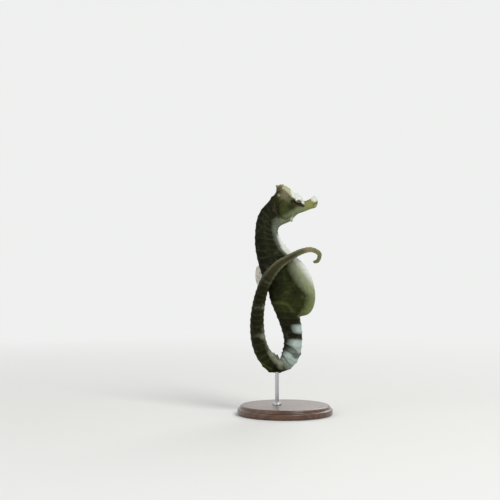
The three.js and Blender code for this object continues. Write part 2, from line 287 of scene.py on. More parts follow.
def hill(distance, width):
    """A rounded rise, exp of minus the square of distance over width: 1 where the distance is 0."""
    return np.exp(-((distance / width) ** 2))


def smooth_max(a, b, width):
    """The larger of two heights, with the corner between them rounded over a width."""
    h = np.clip(0.5 + 0.5 * (a - b) / width, 0, 1)
    return b + (a - b) * h + width * h * (1 - h)


def spline(table, at):
    """Uniform Catmull-Rom curve through the rows of a table, its ends continued straight on."""
    rows = np.vstack([2 * table[0] - table[1], table, 2 * table[-1] - table[-2]])
    i = np.clip(np.floor(at).astype(int), 0, len(table) - 2)
    t = (at - i)[:, None]
    a, b, c, d = rows[i], rows[i + 1], rows[i + 2], rows[i + 3]
    return b + 0.5 * t * (c - a + t * (2 * a - 5 * b + 4 * c - d + t * (3 * (b - c) + d - a)))


def unit(vectors):
    """Vectors divided by their own lengths."""
    return vectors / np.linalg.norm(vectors, axis=-1, keepdims=True)


def section_table():
    """Centre, half vector to the belly and half vector to the animal's left, for every station."""
    back = BODY_STATIONS[:, [0, 0, 1]] * [1, 0, 1]
    belly = BODY_STATIONS[:, [2, 2, 3]] * [1, 0, 1]
    side = BODY_STATIONS[:, 4:] * [0, 1, 0]
    body = np.hstack([(back + belly) / 2, (belly - back) / 2, side])
    centre = TAIL_STATIONS[:, :3]
    ahead = np.vstack([centre[1:], centre[-1:]])
    behind = np.vstack([centre[:1], centre[:-1]])
    along = unit(ahead - behind)
    out = unit(np.cross(along, [0.0, 1.0, 0.0]))
    radius = TAIL_STATIONS[:, 3:]
    tail = np.hstack([centre, out * radius, np.cross(out, along) * radius])
    return np.vstack([body, tail])


SECTIONS = section_table()


def arms(station, angle):
    """Origin and unit ray of every point of a grid of stations and angles, and how far out the plain body is.

    The plain body is nearly an ellipse on the trunk and a rounded square on the tail, |cos|^p + |sin|^p = 1
    along the two half vectors. Angle 0 is the belly and pi is the back.
    """
    rows = spline(SECTIONS, station)[:, None, :]
    centre, belly, side = rows[..., 0:3], rows[..., 3:6], rows[..., 6:9]
    turned = angle - np.pi * smooth(TWIST_FROM, TWIST_TO, station)[:, None]
    arm = belly * np.cos(turned)[..., None] + side * np.sin(turned)[..., None]
    squared = smooth(SQUARED_FROM, SQUARED_TO, station)[:, None]
    power = TRUNK_POWER + (TAIL_POWER - TRUNK_POWER) * squared
    reach = (np.abs(np.cos(angle)) ** power + np.abs(np.sin(angle)) ** power) ** (-1 / power)
    length = np.linalg.norm(arm, axis=-1)
    return centre, arm / length[..., None], reach * length


# ---- Rows and columns of the skin ----------------------------------------------------------------------

FINE_COLUMNS = 160  # round the head and trunk; the tail has half as many
DEPTH_TO_WIDTH = 1.7  # of the trunk's sections
HEAD_ROWS = 190
HEAD_END, FINE_END = 8.6, 18.3  # stations where the rings begin and where the columns halve
RING_PITCH = ([8.6, 12, 15, 18, 26, 37], [2.8, 3.3, 4.6, 4.4, 3.8, 2.1])  # stations, mm between rings
ROWS_PER_RING = ([8, 18, 30, 37], [11.5, 11.5, 9.5, 8.0])  # stations, rows
BUNCHING = 0.5  # how much the rows crowd at the rings; with 0 they are evenly spaced


def arc_lengths():
    """Length of the centre line up to each of many closely spaced stations, in mm."""
    station = np.linspace(0, LAST, 4000)
    centre = spline(SECTIONS, station)[:, :3]
    steps = np.linalg.norm(np.diff(centre, axis=0), axis=1)
    return station, np.concatenate([[0], np.cumsum(steps)])


STATION_LINE, LENGTH_LINE = arc_lengths()


def ring_phases():
    """Number of armour rings passed at each of the closely spaced stations."""
    pitch = np.interp(STATION_LINE, *RING_PITCH)
    passed = np.concatenate([[0], np.cumsum(np.diff(LENGTH_LINE) / pitch[1:])])
    return passed - np.interp(HEAD_END, STATION_LINE, passed)


PHASE_LINE = ring_phases()


def skin_rows():
    """Stations of the skin's rows: even on the head, then crowded at each armour ring by a sine."""
    ends = np.interp([0, HEAD_END], STATION_LINE, LENGTH_LINE)
    head = np.interp(np.linspace(*ends, HEAD_ROWS, endpoint=False), LENGTH_LINE, STATION_LINE)
    tail = STATION_LINE > HEAD_END
    per_ring = np.interp(STATION_LINE[tail], *ROWS_PER_RING)
    count = np.concatenate([[0], np.cumsum(np.diff(PHASE_LINE[tail]) * per_ring[1:])])
    phase = np.interp(np.linspace(0, count[-1], int(count[-1])), count, PHASE_LINE[tail])
    phase = phase - BUNCHING * np.sin(2 * np.pi * phase) / (2 * np.pi)
    return np.concatenate([head, np.interp(phase, PHASE_LINE[tail], STATION_LINE[tail])])


def skin_columns():
    """Angles of the columns, closer together where the outline of a section deeper than wide runs fast."""
    t = np.linspace(0, 2 * np.pi, 2001)
    speed = np.hypot(DEPTH_TO_WIDTH * np.sin(t), np.cos(t)) ** 0.6
    passed = np.concatenate([[0], np.cumsum(speed[1:])])
    return np.interp(np.arange(FINE_COLUMNS) / FINE_COLUMNS, passed / passed[-1], t)


# ---- Shape of the skin ---------------------------------------------------------------------------------

# Forms that swell out of the plain body: centre, half sizes, lean, and the stations that they lie between.
POUCH = {"centre": (7.0, 0, 81.2), "half": (11.2, 8.2, 20.1), "lean": -0.33, "span": (12.5, 20.5)}
ORBIT = {"centre": (7.9, 2.0, 135.4), "half": (3.2, 3.2, 3.2), "lean": 0, "span": (2.6, 7.5)}
CHEEK = {"centre": (6.5, 1.6, 129.8), "half": (4.6, 2.4, 3.4), "lean": -0.3, "span": (2.5, 8)}
GILL_COVER = {"centre": (0.2, 3.2, 129.0), "half": (4.7, 2.0, 5.8), "lean": 0.12, "span": (4, 11)}
# The forms on both sides of the head, how far each is drawn in, and the width of its blend into the skin.
HEAD_FORMS = ((ORBIT, 0.1, 0.9), (CHEEK, 0.0, 1.4), (GILL_COVER, 0.0, 0.35))
SKIN_INSET, POUCH_INSET = 0.12, 0.35  # room left inside the solids for what stands out of the skin
LIPS_ROUND, TIP_ROUND = 0.55, 0.35  # stations over which the body rounds off to a point at either end

EYE_PLACE = np.array([8.1, 3.1, 135.0])
EYE_LOOK = unit(np.array([0.22, 1.0, -0.42]))  # the left eye looks out, down and a little forward
EYE_OPENING = 1.95  # radius of the opening in the skin
SOCKET_DEPTH = 1.5
EYE_RIM = {"out": 0.25, "height": 0.28, "width": 0.34}  # how far outside the opening, height, width
# The line between the lips: its front end, the direction across it, and the x over which it fades in.
MOUTH = {"x": 20.6, "z": 133.6, "across": (-0.56, 0.83), "from": (17.2, 18.4), "depth": 0.32, "width": 0.28}
# The slit along the gill cover's margin: half length and half height of that oval, and its rough radius.
GILL_SLIT = {"half": (4.9, 6.0), "radius": 5.2, "depth": 0.4, "width": 0.45}
GILL_END = (9.5, 11.0)  # stations over which the slits end

# Small bony points: place on the animal's left, width, height. The nostril and gill opening are hollows.
SPINES = {
    "brow": ((7.5, 2.3, 138.4), 0.85, 1.25),
    "cheek": ((4.3, 2.2, 122.9), 1.1, 2.1),
    "side of the head": ((-4.1, 3.5, 138.0), 0.9, 0.75),
    "front of the crest": ((3.4, 0.0, 141.2), 0.8, 0.35),
    "nape": ((-8.6, 0.0, 136.6), 1.1, 0.7),
    "coronet mound": ((-3.6, 0.0, 141.4), 2.8, 0.7),
    "shoulder": ((-7.0, 3.8, 122.5), 1.0, 0.6),
    "nose": ((10.6, 0.0, 135.2), 0.9, 0.3),
    "nostril": ((12.0, 1.0, 134.4), 0.32, -0.35),
    "gill opening": ((-4.9, 2.9, 134.6), 0.55, -0.6),
}
TRUNK_RIDGES = np.radians([0, 50, 104, 158])  # from the belly line, on both sides
TAIL_RIDGES = np.radians([46, 134])
BELLY_RIDGE = 0.6  # strength of the ridge along the belly line, with 1 for the others
LINE_HEIGHT = 0.16  # of the lines along the ridges on the trunk; they are twice as high on the tail
RING_WIDTH, KNOB_LENGTH, KNOB_WIDTH = 0.55, 0.75, 0.95
ARMOUR_GIRTH = 5.5  # radius at which the armour has its full size; it is finer where the body is thinner
ARMOUR_START = (8.9, 10.2)  # stations over which the armour begins on the neck
TAIL_START = (16.5, 19.5)  # stations over which the trunk's ridges give way to the tail's


def form_reach(station, origin, ray, form, side=1):
    """How far out along each ray an ellipsoid's far side is, for the stations that it lies between.

    Past its edge the reach falls away steeply but without a step, so that the skin folds round it.
    """
    turn = np.cos(form["lean"]), np.sin(form["lean"])
    axes = np.array([[turn[0], 0, -turn[1]], [0, 1, 0], [turn[1], 0, turn[0]]])
    axes = axes / np.array(form["half"])[:, None]
    start = (origin - np.array(form["centre"]) * [1, side, 1]) @ axes.T
    step = ray @ axes.T
    a = (step * step).sum(-1)
    nearest = -(start * step).sum(-1) / a
    inside = 1 - (start * start).sum(-1) + nearest * nearest * a
    reach = nearest + inside / (inside * inside + 0.0025) ** 0.25 / np.sqrt(a)
    low, high = form["span"]
    present = plateau(station, low, low + 0.5, high - 0.5, high)[:, None]
    return np.where(present > 0, reach * present, 0)


def from_belly(angle):
    """Angle round from the belly line on either side, from 0 to pi."""
    return np.abs((angle + np.pi) % (2 * np.pi) - np.pi)


def ring_offset(station):
    """Distance to the nearest armour ring along the body, in mm, and the distance between rings."""
    phase = np.interp(station, STATION_LINE, PHASE_LINE)
    pitch = np.interp(station, *RING_PITCH)
    return (phase - np.round(phase)) * pitch, pitch


def armour(station, angle, reach, bare, settings):
    """Height of the armour on bare skin.

    It is a low ridge at each ring with a hollow half way to the next, lines along the corners of the body,
    and a knob where a ring crosses a line.
    """
    offset, pitch = (values[:, None] for values in ring_offset(station))
    size = np.clip(reach / ARMOUR_GIRTH, 0.25, 1.15)
    begun = smooth(*ARMOUR_START, station)[:, None] * bare
    tail = smooth(*TAIL_START, station)[:, None]
    ring = hill(offset, RING_WIDTH)
    hollow = hill(np.abs(offset) - pitch / 2, 0.3 * pitch)
    ring_height, knob_height = settings.ring_height / MM, settings.knob_height / MM
    height = size * ring_height * (ring - 0.5 * hollow) * (1 + 0.7 * tail)
    for ridges, share in ((TRUNK_RIDGES, 1 - tail), (TAIL_RIDGES, tail)):
        for ridge in ridges:
            away = (from_belly(angle) - ridge) * reach
            line = LINE_HEIGHT * (1 + tail) * hill(away, size)
            knob = hill(away, KNOB_WIDTH * size) * hill(offset, KNOB_LENGTH)
            knob = knob_height * (0.8 + 0.2 * tail) * knob
            strength = BELLY_RIDGE if ridge == 0 else 1.0
            height = height + share * size * strength * (line + knob)
    return begun * height


def eye_plane(points, side):
    """Distance of points from the line that an eye looks along, and how far along it they are."""
    offset = points - EYE_PLACE * [1, side, 1]
    look = EYE_LOOK * [1, side, 1]
    along = offset @ look
    return np.linalg.norm(offset - along[..., None] * look, axis=-1), along


KEEL_HEIGHT, KEEL_WIDTH = 0.55, 0.9
BROW_HEIGHT, BROW_WIDTH = 0.35, 0.7


def crest(points):
    """Rise of the keel that runs from the coronet down the forehead, and of a weaker pair over the eyes."""
    x, y, z = np.moveaxis(points, -1, 0)
    keel = hill(y, KEEL_WIDTH) * plateau(x, -3.2, -1.4, 5.5, 9) * smooth(134, 137, z)
    keel = keel * (1 + 1.5 * (1 - smooth(-1.5, 3.4, x)))
    brow_line = 1.1 + 0.28 * (x + 2.5)
    brow = hill(np.abs(y) - brow_line, BROW_WIDTH) * plateau(x, -2.0, 0.0, 5.5, 7.0)
    return KEEL_HEIGHT * keel + BROW_HEIGHT * brow * smooth(134.5, 137.5, z)


def gill_slit(points):
    """Distance from the gill cover's oval margin in the side view, and where that margin is open.

    It is open at the rear and below, and away from the middle plane.
    """
    x, y, z = np.moveaxis(points, -1, 0)
    ahead = (x - GILL_COVER["centre"][0]) / GILL_SLIT["half"][0]
    up = (z - GILL_COVER["centre"][2]) / GILL_SLIT["half"][1]
    away = (np.hypot(ahead, up) - 1) * GILL_SLIT["radius"]
    return away, (1 - smooth(0.1, 0.7, ahead + 0.5 * up)) * smooth(1.0, 2.2, np.abs(y))


def mouth_cleft(points):
    """Distance across the line between the lips, in mm, and where that line shows."""
    x, _, z = np.moveaxis(points, -1, 0)
    away = (z - MOUTH["z"]) * MOUTH["across"][1] + (x - MOUTH["x"]) * MOUTH["across"][0]
    return away, smooth(*MOUTH["from"], x)


def skin_points(station, angle, settings):
    """Every point of the skin.

    The reach along each ray is the plain body, blended with the pouch, orbits, cheeks and gill covers by a
    rounded maximum, then raised by the armour, the crest and the spines, and closed to a point at both ends.
    """
    angle = np.broadcast_to(angle, (len(station), len(angle)))
    origin, ray, plain = arms(station, angle)
    lips = np.clip(station / LIPS_ROUND, 0, 1)
    tip = np.clip((LAST - station) / TIP_ROUND, 0, 1)
    closed = np.sqrt(1 - (1 - lips) ** 2) * np.sqrt(1 - (1 - tip) ** 2)
    reach = plain - SKIN_INSET
    pouch = form_reach(station, origin, ray, POUCH)
    swollen = smooth(-0.6, 0.9, pouch - reach)
    reach = smooth_max(reach, pouch - POUCH_INSET, settings.pouch_blend / MM)
    for side in SIDES.values():
        for form, inset, blend in HEAD_FORMS:
            reach = smooth_max(reach, form_reach(station, origin, ray, form, side) - inset, blend)
    reach = reach + armour(station, angle, reach, 1 - swollen, settings)
    points = origin + ray * reach[..., None]
    rise = crest(points)
    for place, width, height in SPINES.values():
        for side in SIDES.values():
            away = np.linalg.norm(points - np.array(place) * [1, side, 1], axis=-1)
            rise = rise + (height if place[1] else height / 2) * hill(away, width)
    away, shown = mouth_cleft(points)
    rise = rise - MOUTH["depth"] * shown * hill(away, MOUTH["width"])
    away, opened = gill_slit(points)
    on_head = (1 - smooth(*GILL_END, station))[:, None]
    rise = rise - GILL_SLIT["depth"] * opened * on_head * hill(away, GILL_SLIT["width"])
    points = origin + ray * ((reach + rise) * closed[:, None])[..., None]
    for side in SIDES.values():
        across, along = eye_plane(points, side)
        seen = smooth(-1.0, 0.5, along)
        rim = hill(across - EYE_OPENING - EYE_RIM["out"], EYE_RIM["width"]) * seen
        inside = (1 - smooth(EYE_OPENING - 0.45, EYE_OPENING, across)) * seen
        look = EYE_LOOK * [1, side, 1]
        points = points + (EYE_RIM["height"] * rim - SOCKET_DEPTH * inside)[..., None] * look
    return points


# ---- Meshes --------------------------------------------------------------------------------------------


def new_mesh(name, points, faces):
    """A smooth-shaded object of the given points in mm and faces, at the origin."""
    mesh = bpy.data.meshes.new(name)
    mesh.from_pydata(points * MM, [], faces)
    mesh.validate()
    mesh.shade_smooth()
    piece = bpy.data.objects.new(name, mesh)
    bpy.context.scene.collection.objects.link(piece)
    return piece


def ring_faces(rows, columns, first=0):
    """Quads of a grid that is closed round its columns."""
    here = first + np.arange(rows - 1)[:, None] * columns + np.arange(columns)
    beside = first + np.arange(rows - 1)[:, None] * columns + (np.arange(columns) + 1) % columns
    return np.stack([here, here + columns, beside + columns, beside], axis=-1).reshape(-1, 4)


def cap_faces(point, ring):
    """Triangles from one point to each side of a closed ring of points."""
    return np.stack([np.full(len(ring), point), ring, np.roll(ring, -1)], axis=-1)


def loft(name, grid, flip=False):
    """A closed surface from rows of rings; a point at the middle of each end row closes it."""
    rows, columns = grid.shape[:2]
    ends = np.array([grid[0].mean(0), grid[-1].mean(0)])
    ring = np.arange(columns)
    start = rows * columns
    first = cap_faces(start, ring)
    last = cap_faces(start + 1, ring + start - columns)[:, ::-1]
    step = -1 if flip else 1
    polygons = ring_faces(rows, columns)[:, ::step].tolist()
    polygons += first[:, ::step].tolist() + last[:, ::step].tolist()
    return new_mesh(name, np.vstack([grid.reshape(-1, 3), ends]), polygons)


def attribute(piece, name, values):
    """A number at every vertex, which the materials read by name."""
    layer = piece.data.attributes.new(name, "FLOAT", "POINT")
    layer.data.foreach_set("value", np.ascontiguousarray(values, np.float32))


def grid_attributes(piece, grids):
    """Numbers on a loft's grid, each with its row's mean at the two end points."""
    for name, values in grids.items():
        attribute(piece, name, np.concatenate([values.ravel(), values[[0, -1]].mean(1)]))


def place_piece(piece, material, nodes):
    """Gives a piece its finish, hangs it under the root and hides the nodes that it stands for."""
    piece.data.materials.append(material)
    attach(piece, "root")
    if nodes:
        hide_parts(*nodes)


# ---- Markings and painted light ------------------------------------------------------------------------

# Pale bands round the tail: first and last station, how much further along each of those edges is on the
# belly line, degrees round from the belly line that the band reaches, strength.
BANDS = [
    (18.82, 19.5, 0.0, 0.0, 80, 0.92),
    (19.88, 20.44, 0.0, 0.4, 104, 1.0),
    (20.4, 21.0, 0.4, 0.3, 112, 0.36),
    (20.88, 21.5, 0.3, 0.12, 112, 1.0),
    (21.45, 22.1, 0.12, 0.0, 112, 0.55),
    (22.1, 22.7, 0.0, 0.0, 60, 0.4),
    (25.5, 25.85, 0.0, 0.0, 140, 0.28),
    (27.6, 27.9, 0.0, 0.0, 140, 0.24),
    (29.5, 29.75, 0.0, 0.0, 140, 0.22),
]

# Where the neck pales towards its lit front, seen from the side: height, x where the painted shade begins and
# x where the painted highlight begins.
FRONT_LINE = np.array(
    [
        [95.9, 1.9, 5.7],
        [99.7, -1.0, 2.5],
        [103.5, -5.0, -1.9],
        [109.8, -8.2, -4.5],
        [116.1, -9.2, -6.4],
        [122.4, -9.2, -6.4],
        [124.6, -6.4, -3.4],
        [127.0, -2.0, 1.0],
    ]
)
# The same on the pouch, from its side in painted shade to its lit front: height, x where it is half way to
# cream, half width of that change, x where it is half way to the painted highlight.
POUCH_LINE = np.array(
    [
        [70.0, 19.0, 3.0, 26.0],
        [74.0, 15.8, 3.2, 23.4],
        [78.3, 12.8, 3.8, 20.4],
        [81.4, 10.6, 4.4, 18.0],
        [87.7, 6.8, 4.8, 13.6],
        [94.0, 3.7, 4.4, 9.2],
        [98.5, 2.0, 3.8, 5.6],
    ]
)
# The paler rim of the lower pouch: direction from the pouch's middle in degrees, 0 ahead and 90 up, how far
# out it is half way pale, with 1 at the pouch's outline, and half width of that change.
RIM_LINE = np.array(
    [
        [-180, 3.0, 0.1],
        [-97, 3.0, 0.1],
        [-89, 1.14, 0.14],
        [-81, 0.93, 0.18],
        [-65, 0.77, 0.26],
        [-46, 0.71, 0.3],
        [-17, 0.69, 0.34],
        [12, 0.84, 0.32],
        [40, 1.4, 0.3],
        [180, 3.0, 0.1],
    ]
)

# Lower margin of the painted highlight on the brow: x and height.
BROW_LINE = np.array([[3.8, 139.4], [4.6, 136.9], [6.3, 135.4], [9.5, 133.7], [11.6, 132.3]])
BROW_SPAN = (3.6, 11.8)  # x over which it shows
# The pale rounds on the lips are painted highlight, full on the upper lip and faint on the lower.
UPPER_LIP, LOWER_LIP = (18.5, 136.3, 2.4), (19.0, 131.4, 1.5)  # x, z and radius of the pale rounds

# Soft lines in the side plane: points as x and z, half width, softness, stations between which they show.
LINES = {
    "crest": (((-2.4, 144.0), (0.6, 142.4), (3.2, 140.2), (4.8, 138.0)), 1.2, 1.1, (0, 9)),
    "jaw": (((-2.0, 121.2), (2.0, 123.2), (5.7, 126.0), (9.0, 128.1), (13.0, 129.6)), 2.4, 2.3, (0, 9)),
    # The bar under the eye is partly a dark marking and partly painted shadow under the eye.
    "bar": (((4.8, 134.0), (6.9, 133.0), (9.2, 131.7), (11.4, 131.3)), 0.85, 0.7, (0, 7)),
    "seam": (((-9.0, 70.4), (-3.2, 70.6), (1.0, 69.8), (3.4, 67.0), (4.6, 65.2)), 0.5, 1.2, (15, 19)),
    "inner edge": (
        ((-2.0, 32.9), (-3.6, 33.2), (-5.4, 34.4), (-7.4, 36.6), (-9.0, 39.0)), 1.4, 1.6, (21.9, 24.4)
    ),
    "turn bar": (((-0.9, 36.8), (0.4, 35.2), (1.2, 33.4)), 0.4, 0.6, (21.0, 22.6)),
    "inner limb": (((-8.4, 38.0), (-10.6, 42.6), (-12.6, 49.4), (-13.2, 54.6)), 0.9, 1.7, (23.6, 26.6)),
    "yellow": (((-14.4, 32.4), (-11.5, 30.3), (-8.4, 28.6)), 0.4, 0.8, (22, 24.6)),
}
# Soft ovals in the side plane: middle x and z, half width, half height, stations between which they show.
OVALS = {
    "temple": [(0.5, 138.9, 4.6, 4.0, (2, 9))],
    "marks": [
        (4.7, 134.0, 1.1, 1.1, (2, 9)),
        (3.5, 130.5, 2.2, 1.3, (2, 9)),
        # Painted shade behind the gill cover, round the cheek fin's root.
        (-6.4, 131.0, 2.6, 8.0, (4, 10)),
        # Painted shade under the coronet's overhanging rim.
        (-4.4, 141.2, 1.5, 2.4, (4, 10)),
        # Dark under the eye: partly a marking, partly painted shadow of the eye.
        (9.6, 132.4, 1.5, 0.8, (2, 9)),
    ],
    "inner knob": [(-12.9, 49.4, 2.0, 1.6, (25, 26.5)), (-12.4, 67.8, 1.4, 1.4, (27, 28.5))],
    "blotches": [
        # This first blotch, on the side of the pouch, is painted shade; the others are dark marks.
        (7.2, 77.0, 2.6, 3.6, (14, 18.6)),
        (-4.6, 80.0, 3.4, 8.0, (14, 18.6)),
        (2.4, 86.0, 2.6, 3.0, (14, 18.6)),
        (2.0, 54.2, 2.2, 1.4, (18, 19.6)),
    ],
}


def edge(distance, spread):
    """A mask that is 0.5 where the distance is 0, and reaches 0 and 1 a spread away."""
    return np.clip(0.5 + 0.5 * distance / spread, 0, 1)


def between(station, span):
    """1 between two stations, fading out over a short way beyond them."""
    return plateau(station, span[0] - 0.3, span[0], span[1], span[1] + 0.3)


def look_up(table, at):
    """The other columns of a table at values of its first, straight between its rows."""
    return [np.interp(at, table[:, 0], column) for column in table[:, 1:].T]


def stroke(x, z, line, width, spread):
    """A soft line: the distance from each point to the nearest piece of the line, made a mask."""
    nearest = np.full_like(x, np.inf)
    for (ax, az), (bx, bz) in zip(line[:-1], line[1:]):
        run, rise = bx - ax, bz - az
        along = np.clip(((x - ax) * run + (z - az) * rise) / (run**2 + rise**2), 0, 1)
        nearest = np.minimum(nearest, np.hypot(x - ax - along * run, z - az - along * rise))
    return edge(width - nearest, spread)


def oval(x, z, middle_x, middle_z, wide, tall):
    """A soft oval: full at its middle, half way at its edge."""
    return edge(1 - np.hypot((x - middle_x) / wide, (z - middle_z) / tall), 1.0)


def pouch_plan(x, z):
    """How far out each point is in the pouch's oval in the side view, 1 at its rim, and in what direction."""
    ahead, up = x - POUCH["centre"][0], z - POUCH["centre"][2]
    turn = np.cos(POUCH["lean"]), np.sin(POUCH["lean"])
    across = (ahead * turn[0] - up * turn[1]) / POUCH["half"][0]
    along = (ahead * turn[1] + up * turn[0]) / POUCH["half"][2]
    return np.hypot(across, along), np.degrees(np.arctan2(up, ahead))


def band_mask(station, girth):
    """The pale bands: each is a rounded oblong in station and degrees round from the belly line."""
    bands = np.zeros_like(girth)
    for first, last, first_bend, last_bend, reach, strength in BANDS:
        near_belly = hill(girth, 55)
        start, stop = first + first_bend * near_belly, last + last_bend * near_belly
        middle, half = (start + stop) / 2, (stop - start) / 2
        inside = 1 - (np.abs((station - middle) / half) ** 4 + (girth / reach) ** 4) ** 0.25
        bands = np.maximum(bands, strength * edge(inside - 0.04, 0.34))
    return bands


def front_masks(x, z, station):
    """Masks of the pale fronts of the neck and pouch: painted shade, the pouch's cream and painted highlight.
    """
    shade_x, highlight_x = look_up(FRONT_LINE, z)
    neck = plateau(station, 8.3, 8.8, 14.2, 15.0)
    # The throat's white is painted highlight on the lit front of the neck.
    throat = neck * edge(x - highlight_x - 0.4, 1.3) * (1 - smooth(111, 115.5, z))
    out, direction = pouch_plan(x, z)
    middle, spread, white = look_up(POUCH_LINE, z)
    rim, rim_spread = look_up(RIM_LINE, direction)
    pouch = plateau(station, 13.4, 14.4, 18.2, 18.7)
    lower_front = edge(out - rim, rim_spread) * (1 - smooth(1.02, 1.14, out))
    return {
        "shade": neck * edge(x - (shade_x + highlight_x) / 2, (highlight_x - shade_x) / 2),
        "cream": pouch * np.maximum(edge(x - middle, spread), lower_front),
        "white": np.maximum(throat, pouch * edge(x - white, 3.6)),
        "low": 1 - smooth(66, 87, z),
    }


def side_masks(x, station, girth):
    """Masks of the painted shade on the pouch's side, the green sides of the tail, the pale bands and the
    brown tail.
    """
    # Painted shade on the shaded side of the pouch and trunk.
    trunk = plateau(station, 13.6, 15.0, 17.2, 18.4) * edge(x + 8, 4.0)
    turn = 0.9 * between(station, (21.8, 24.2)) * edge(girth - 90, 45)
    limb = 0.6 * between(station, (24.4, 29.5)) * edge(75 - girth, 50)
    return {
        "belly": np.maximum(trunk, np.maximum(turn, limb)),
        "bands": band_mask(station, girth),
        "tail": smooth(17.6, 18.9, station),
    }


def head_masks(points, station):
    """Masks of the head, snout, the painted highlights on the lips and brow, pale knobs and the two slits."""
    x, _, z = np.moveaxis(points, -1, 0)
    brow = np.minimum(z - look_up(BROW_LINE, x)[0], np.minimum(x - BROW_SPAN[0], BROW_SPAN[1] - x))
    upper, lower = (radius - np.hypot(x - at_x, z - at_z) for at_x, at_z, radius in (UPPER_LIP, LOWER_LIP))
    cleft, shown = mouth_cleft(points)
    slit, opened = gill_slit(points)
    knobs = np.zeros_like(x)
    for name, share in (("cheek", 1.0), ("side of the head", 0.6)):
        place, width, _ = SPINES[name]
        away = np.linalg.norm(points * [1, 0, 1] + np.abs(points) * [0, 1, 0] - place, axis=-1)
        knobs = np.maximum(knobs, share * edge(1.1 * width - away, 0.8 * width))
    return {
        "head": (1 - smooth(8.2, 9.6, station)) * edge(x + 4.6 + 0.1 * (z - 130), 2.2),
        "brow": edge(brow, 1.0) * (station < 7),
        "snout": (1 - smooth(3.0, 4.6, station)) * edge(x - 11.2 + 0.3 * (z - 131), 3.4),
        "lip": np.maximum(edge(upper, 0.9), 0.3 * edge(lower, 1.0)) * (station < 3),
        "cleft": shown * hill(cleft, 0.3) * (station < 3),
        "slit": opened * hill(slit, 0.55) * (1 - smooth(*GILL_END, station)),
        "knobs": knobs,
    }


def drawn_masks(x, z, station):
    """Masks of the lines and ovals drawn in the side plane."""
    masks = {}
    for name, (line, width, spread, span) in LINES.items():
        masks[name] = stroke(x, z, line, width, spread) * between(station, span)
    for name, marks in OVALS.items():
        masks[name] = np.zeros_like(x)
        for *place, span in marks:
            masks[name] = np.maximum(masks[name], oval(x, z, *place) * between(station, span))
    return masks


BODY_RADIUS = ([8, 18, 30, 37], [5.5, 5.8, 3.6, 1.0])  # stations, rough radius of the body


def armour_masks(station, angle):
    """Masks of the armour's rings and of the lines along the body's corners."""
    tail = smooth(*TAIL_START, station)
    size = np.interp(station, *BODY_RADIUS)
    corners = np.zeros_like(station)
    for ridges, share in ((TRUNK_RIDGES, 1 - tail), (TAIL_RIDGES, tail)):
        for ridge in ridges:
            corners = np.maximum(corners, share * hill((angle - ridge) * size, 0.8))
    offset, _ = ring_offset(station)
    return {"ring": hill(offset, 0.5) * (station > 9), "corner": corners * smooth(9, 10.5, station)}


def markings_and_painted_light(points, station, angle):
    """Masks from 0 to 1 for each marking, painted shade and painted highlight, from the animal's own plan of
    them.
    """
    x, _, z = np.moveaxis(points, -1, 0)
    station = np.broadcast_to(station[:, None], x.shape)
    angle = np.broadcast_to(from_belly(angle), x.shape)
    masks = {"girth": angle / np.pi, "along": station / LAST}
    masks |= front_masks(x, z, station)
    masks |= side_masks(x, station, np.degrees(angle))
    masks |= head_masks(points, station)
    masks |= drawn_masks(x, z, station)
    return masks | armour_masks(station, angle)


# ---- Materials -----------------------------------------------------------------------------------------


def connect(tree, socket, value):
    """Wires an output to a socket, or sets the socket's own value."""
    if isinstance(value, bpy.types.NodeSocket):
        tree.links.new(value, socket)
    else:
        socket.default_value = value


class Wiring:
    """A short way to add nodes: each call makes a node, sets it, wires its inputs and returns its output."""

    def __init__(self, tree):
        self.tree = tree

    def node(self, kind, inputs=(), output=0, **settings):
        """A node with its inputs by name or number; the other names are the node's own settings."""
        made = self.tree.nodes.new("ShaderNode" + kind)
        for key, value in settings.items():
            setattr(made, key, value)
        for key, value in dict(inputs).items():
            connect(self.tree, made.inputs[key], value)
        return made.outputs[output]

    def math(self, operation, *values, clamp=False):
        """One operation on the values, its result kept from 0 to 1 if clamped."""
        return self.node("Math", enumerate(values), operation=operation, use_clamp=clamp)

    def plus(self, *values, **options):
        """The sum of two values."""
        return self.math("ADD", *values, **options)

    def minus(self, *values, **options):
        """The first value less the second."""
        return self.math("SUBTRACT", *values, **options)

    def times(self, *values, **options):
        """The product of two values."""
        return self.math("MULTIPLY", *values, **options)

    def rise(self, value, start, width):
        """0 up to the start, then rising evenly to 1 over the width."""
        return self.math("DIVIDE", self.minus(value, start), width, clamp=True)

    def mix(self, amount, under, over):
        """One colour over another, by the amount."""
        return self.node("Mix", {0: amount, 6: under, 7: over}, output=2, data_type="RGBA")

    def ramp(self, value, stops):
        """A run of colours at their positions from 0 to 1."""
        made = self.tree.nodes.new("ShaderNodeValToRGB")
        self.tree.links.new(value, made.inputs[0])
        elements = made.color_ramp.elements
        elements[0].position, elements[1].position = stops[0][0], stops[-1][0]
        for position, _ in stops[1:-1]:
            elements.new(position)
        for element, (_, shade) in zip(elements, stops):
            element.color = shade
        return made.outputs[0]

    def attribute(self, name):
        """The number that a piece has at every vertex under this name."""
        return self.node("Attribute", output=2, attribute_name=name)

    def place(self):
        """Where the surface is, in metres."""
        return self.node("TexCoord", output=3)

    def noise(self, place, scale, detail, roughness=0.5, distortion=0.0):
        """Soft noise from 0 to 1."""
        inputs = {"Vector": place, "Scale": scale, "Detail": detail, "Roughness": roughness}
        return self.node("TexNoise", inputs | {"Distortion": distortion})

    def group(self, tree, inputs, output=0):
        """A shader group as one node."""
        return self.node("Group", inputs, output, node_tree=tree)


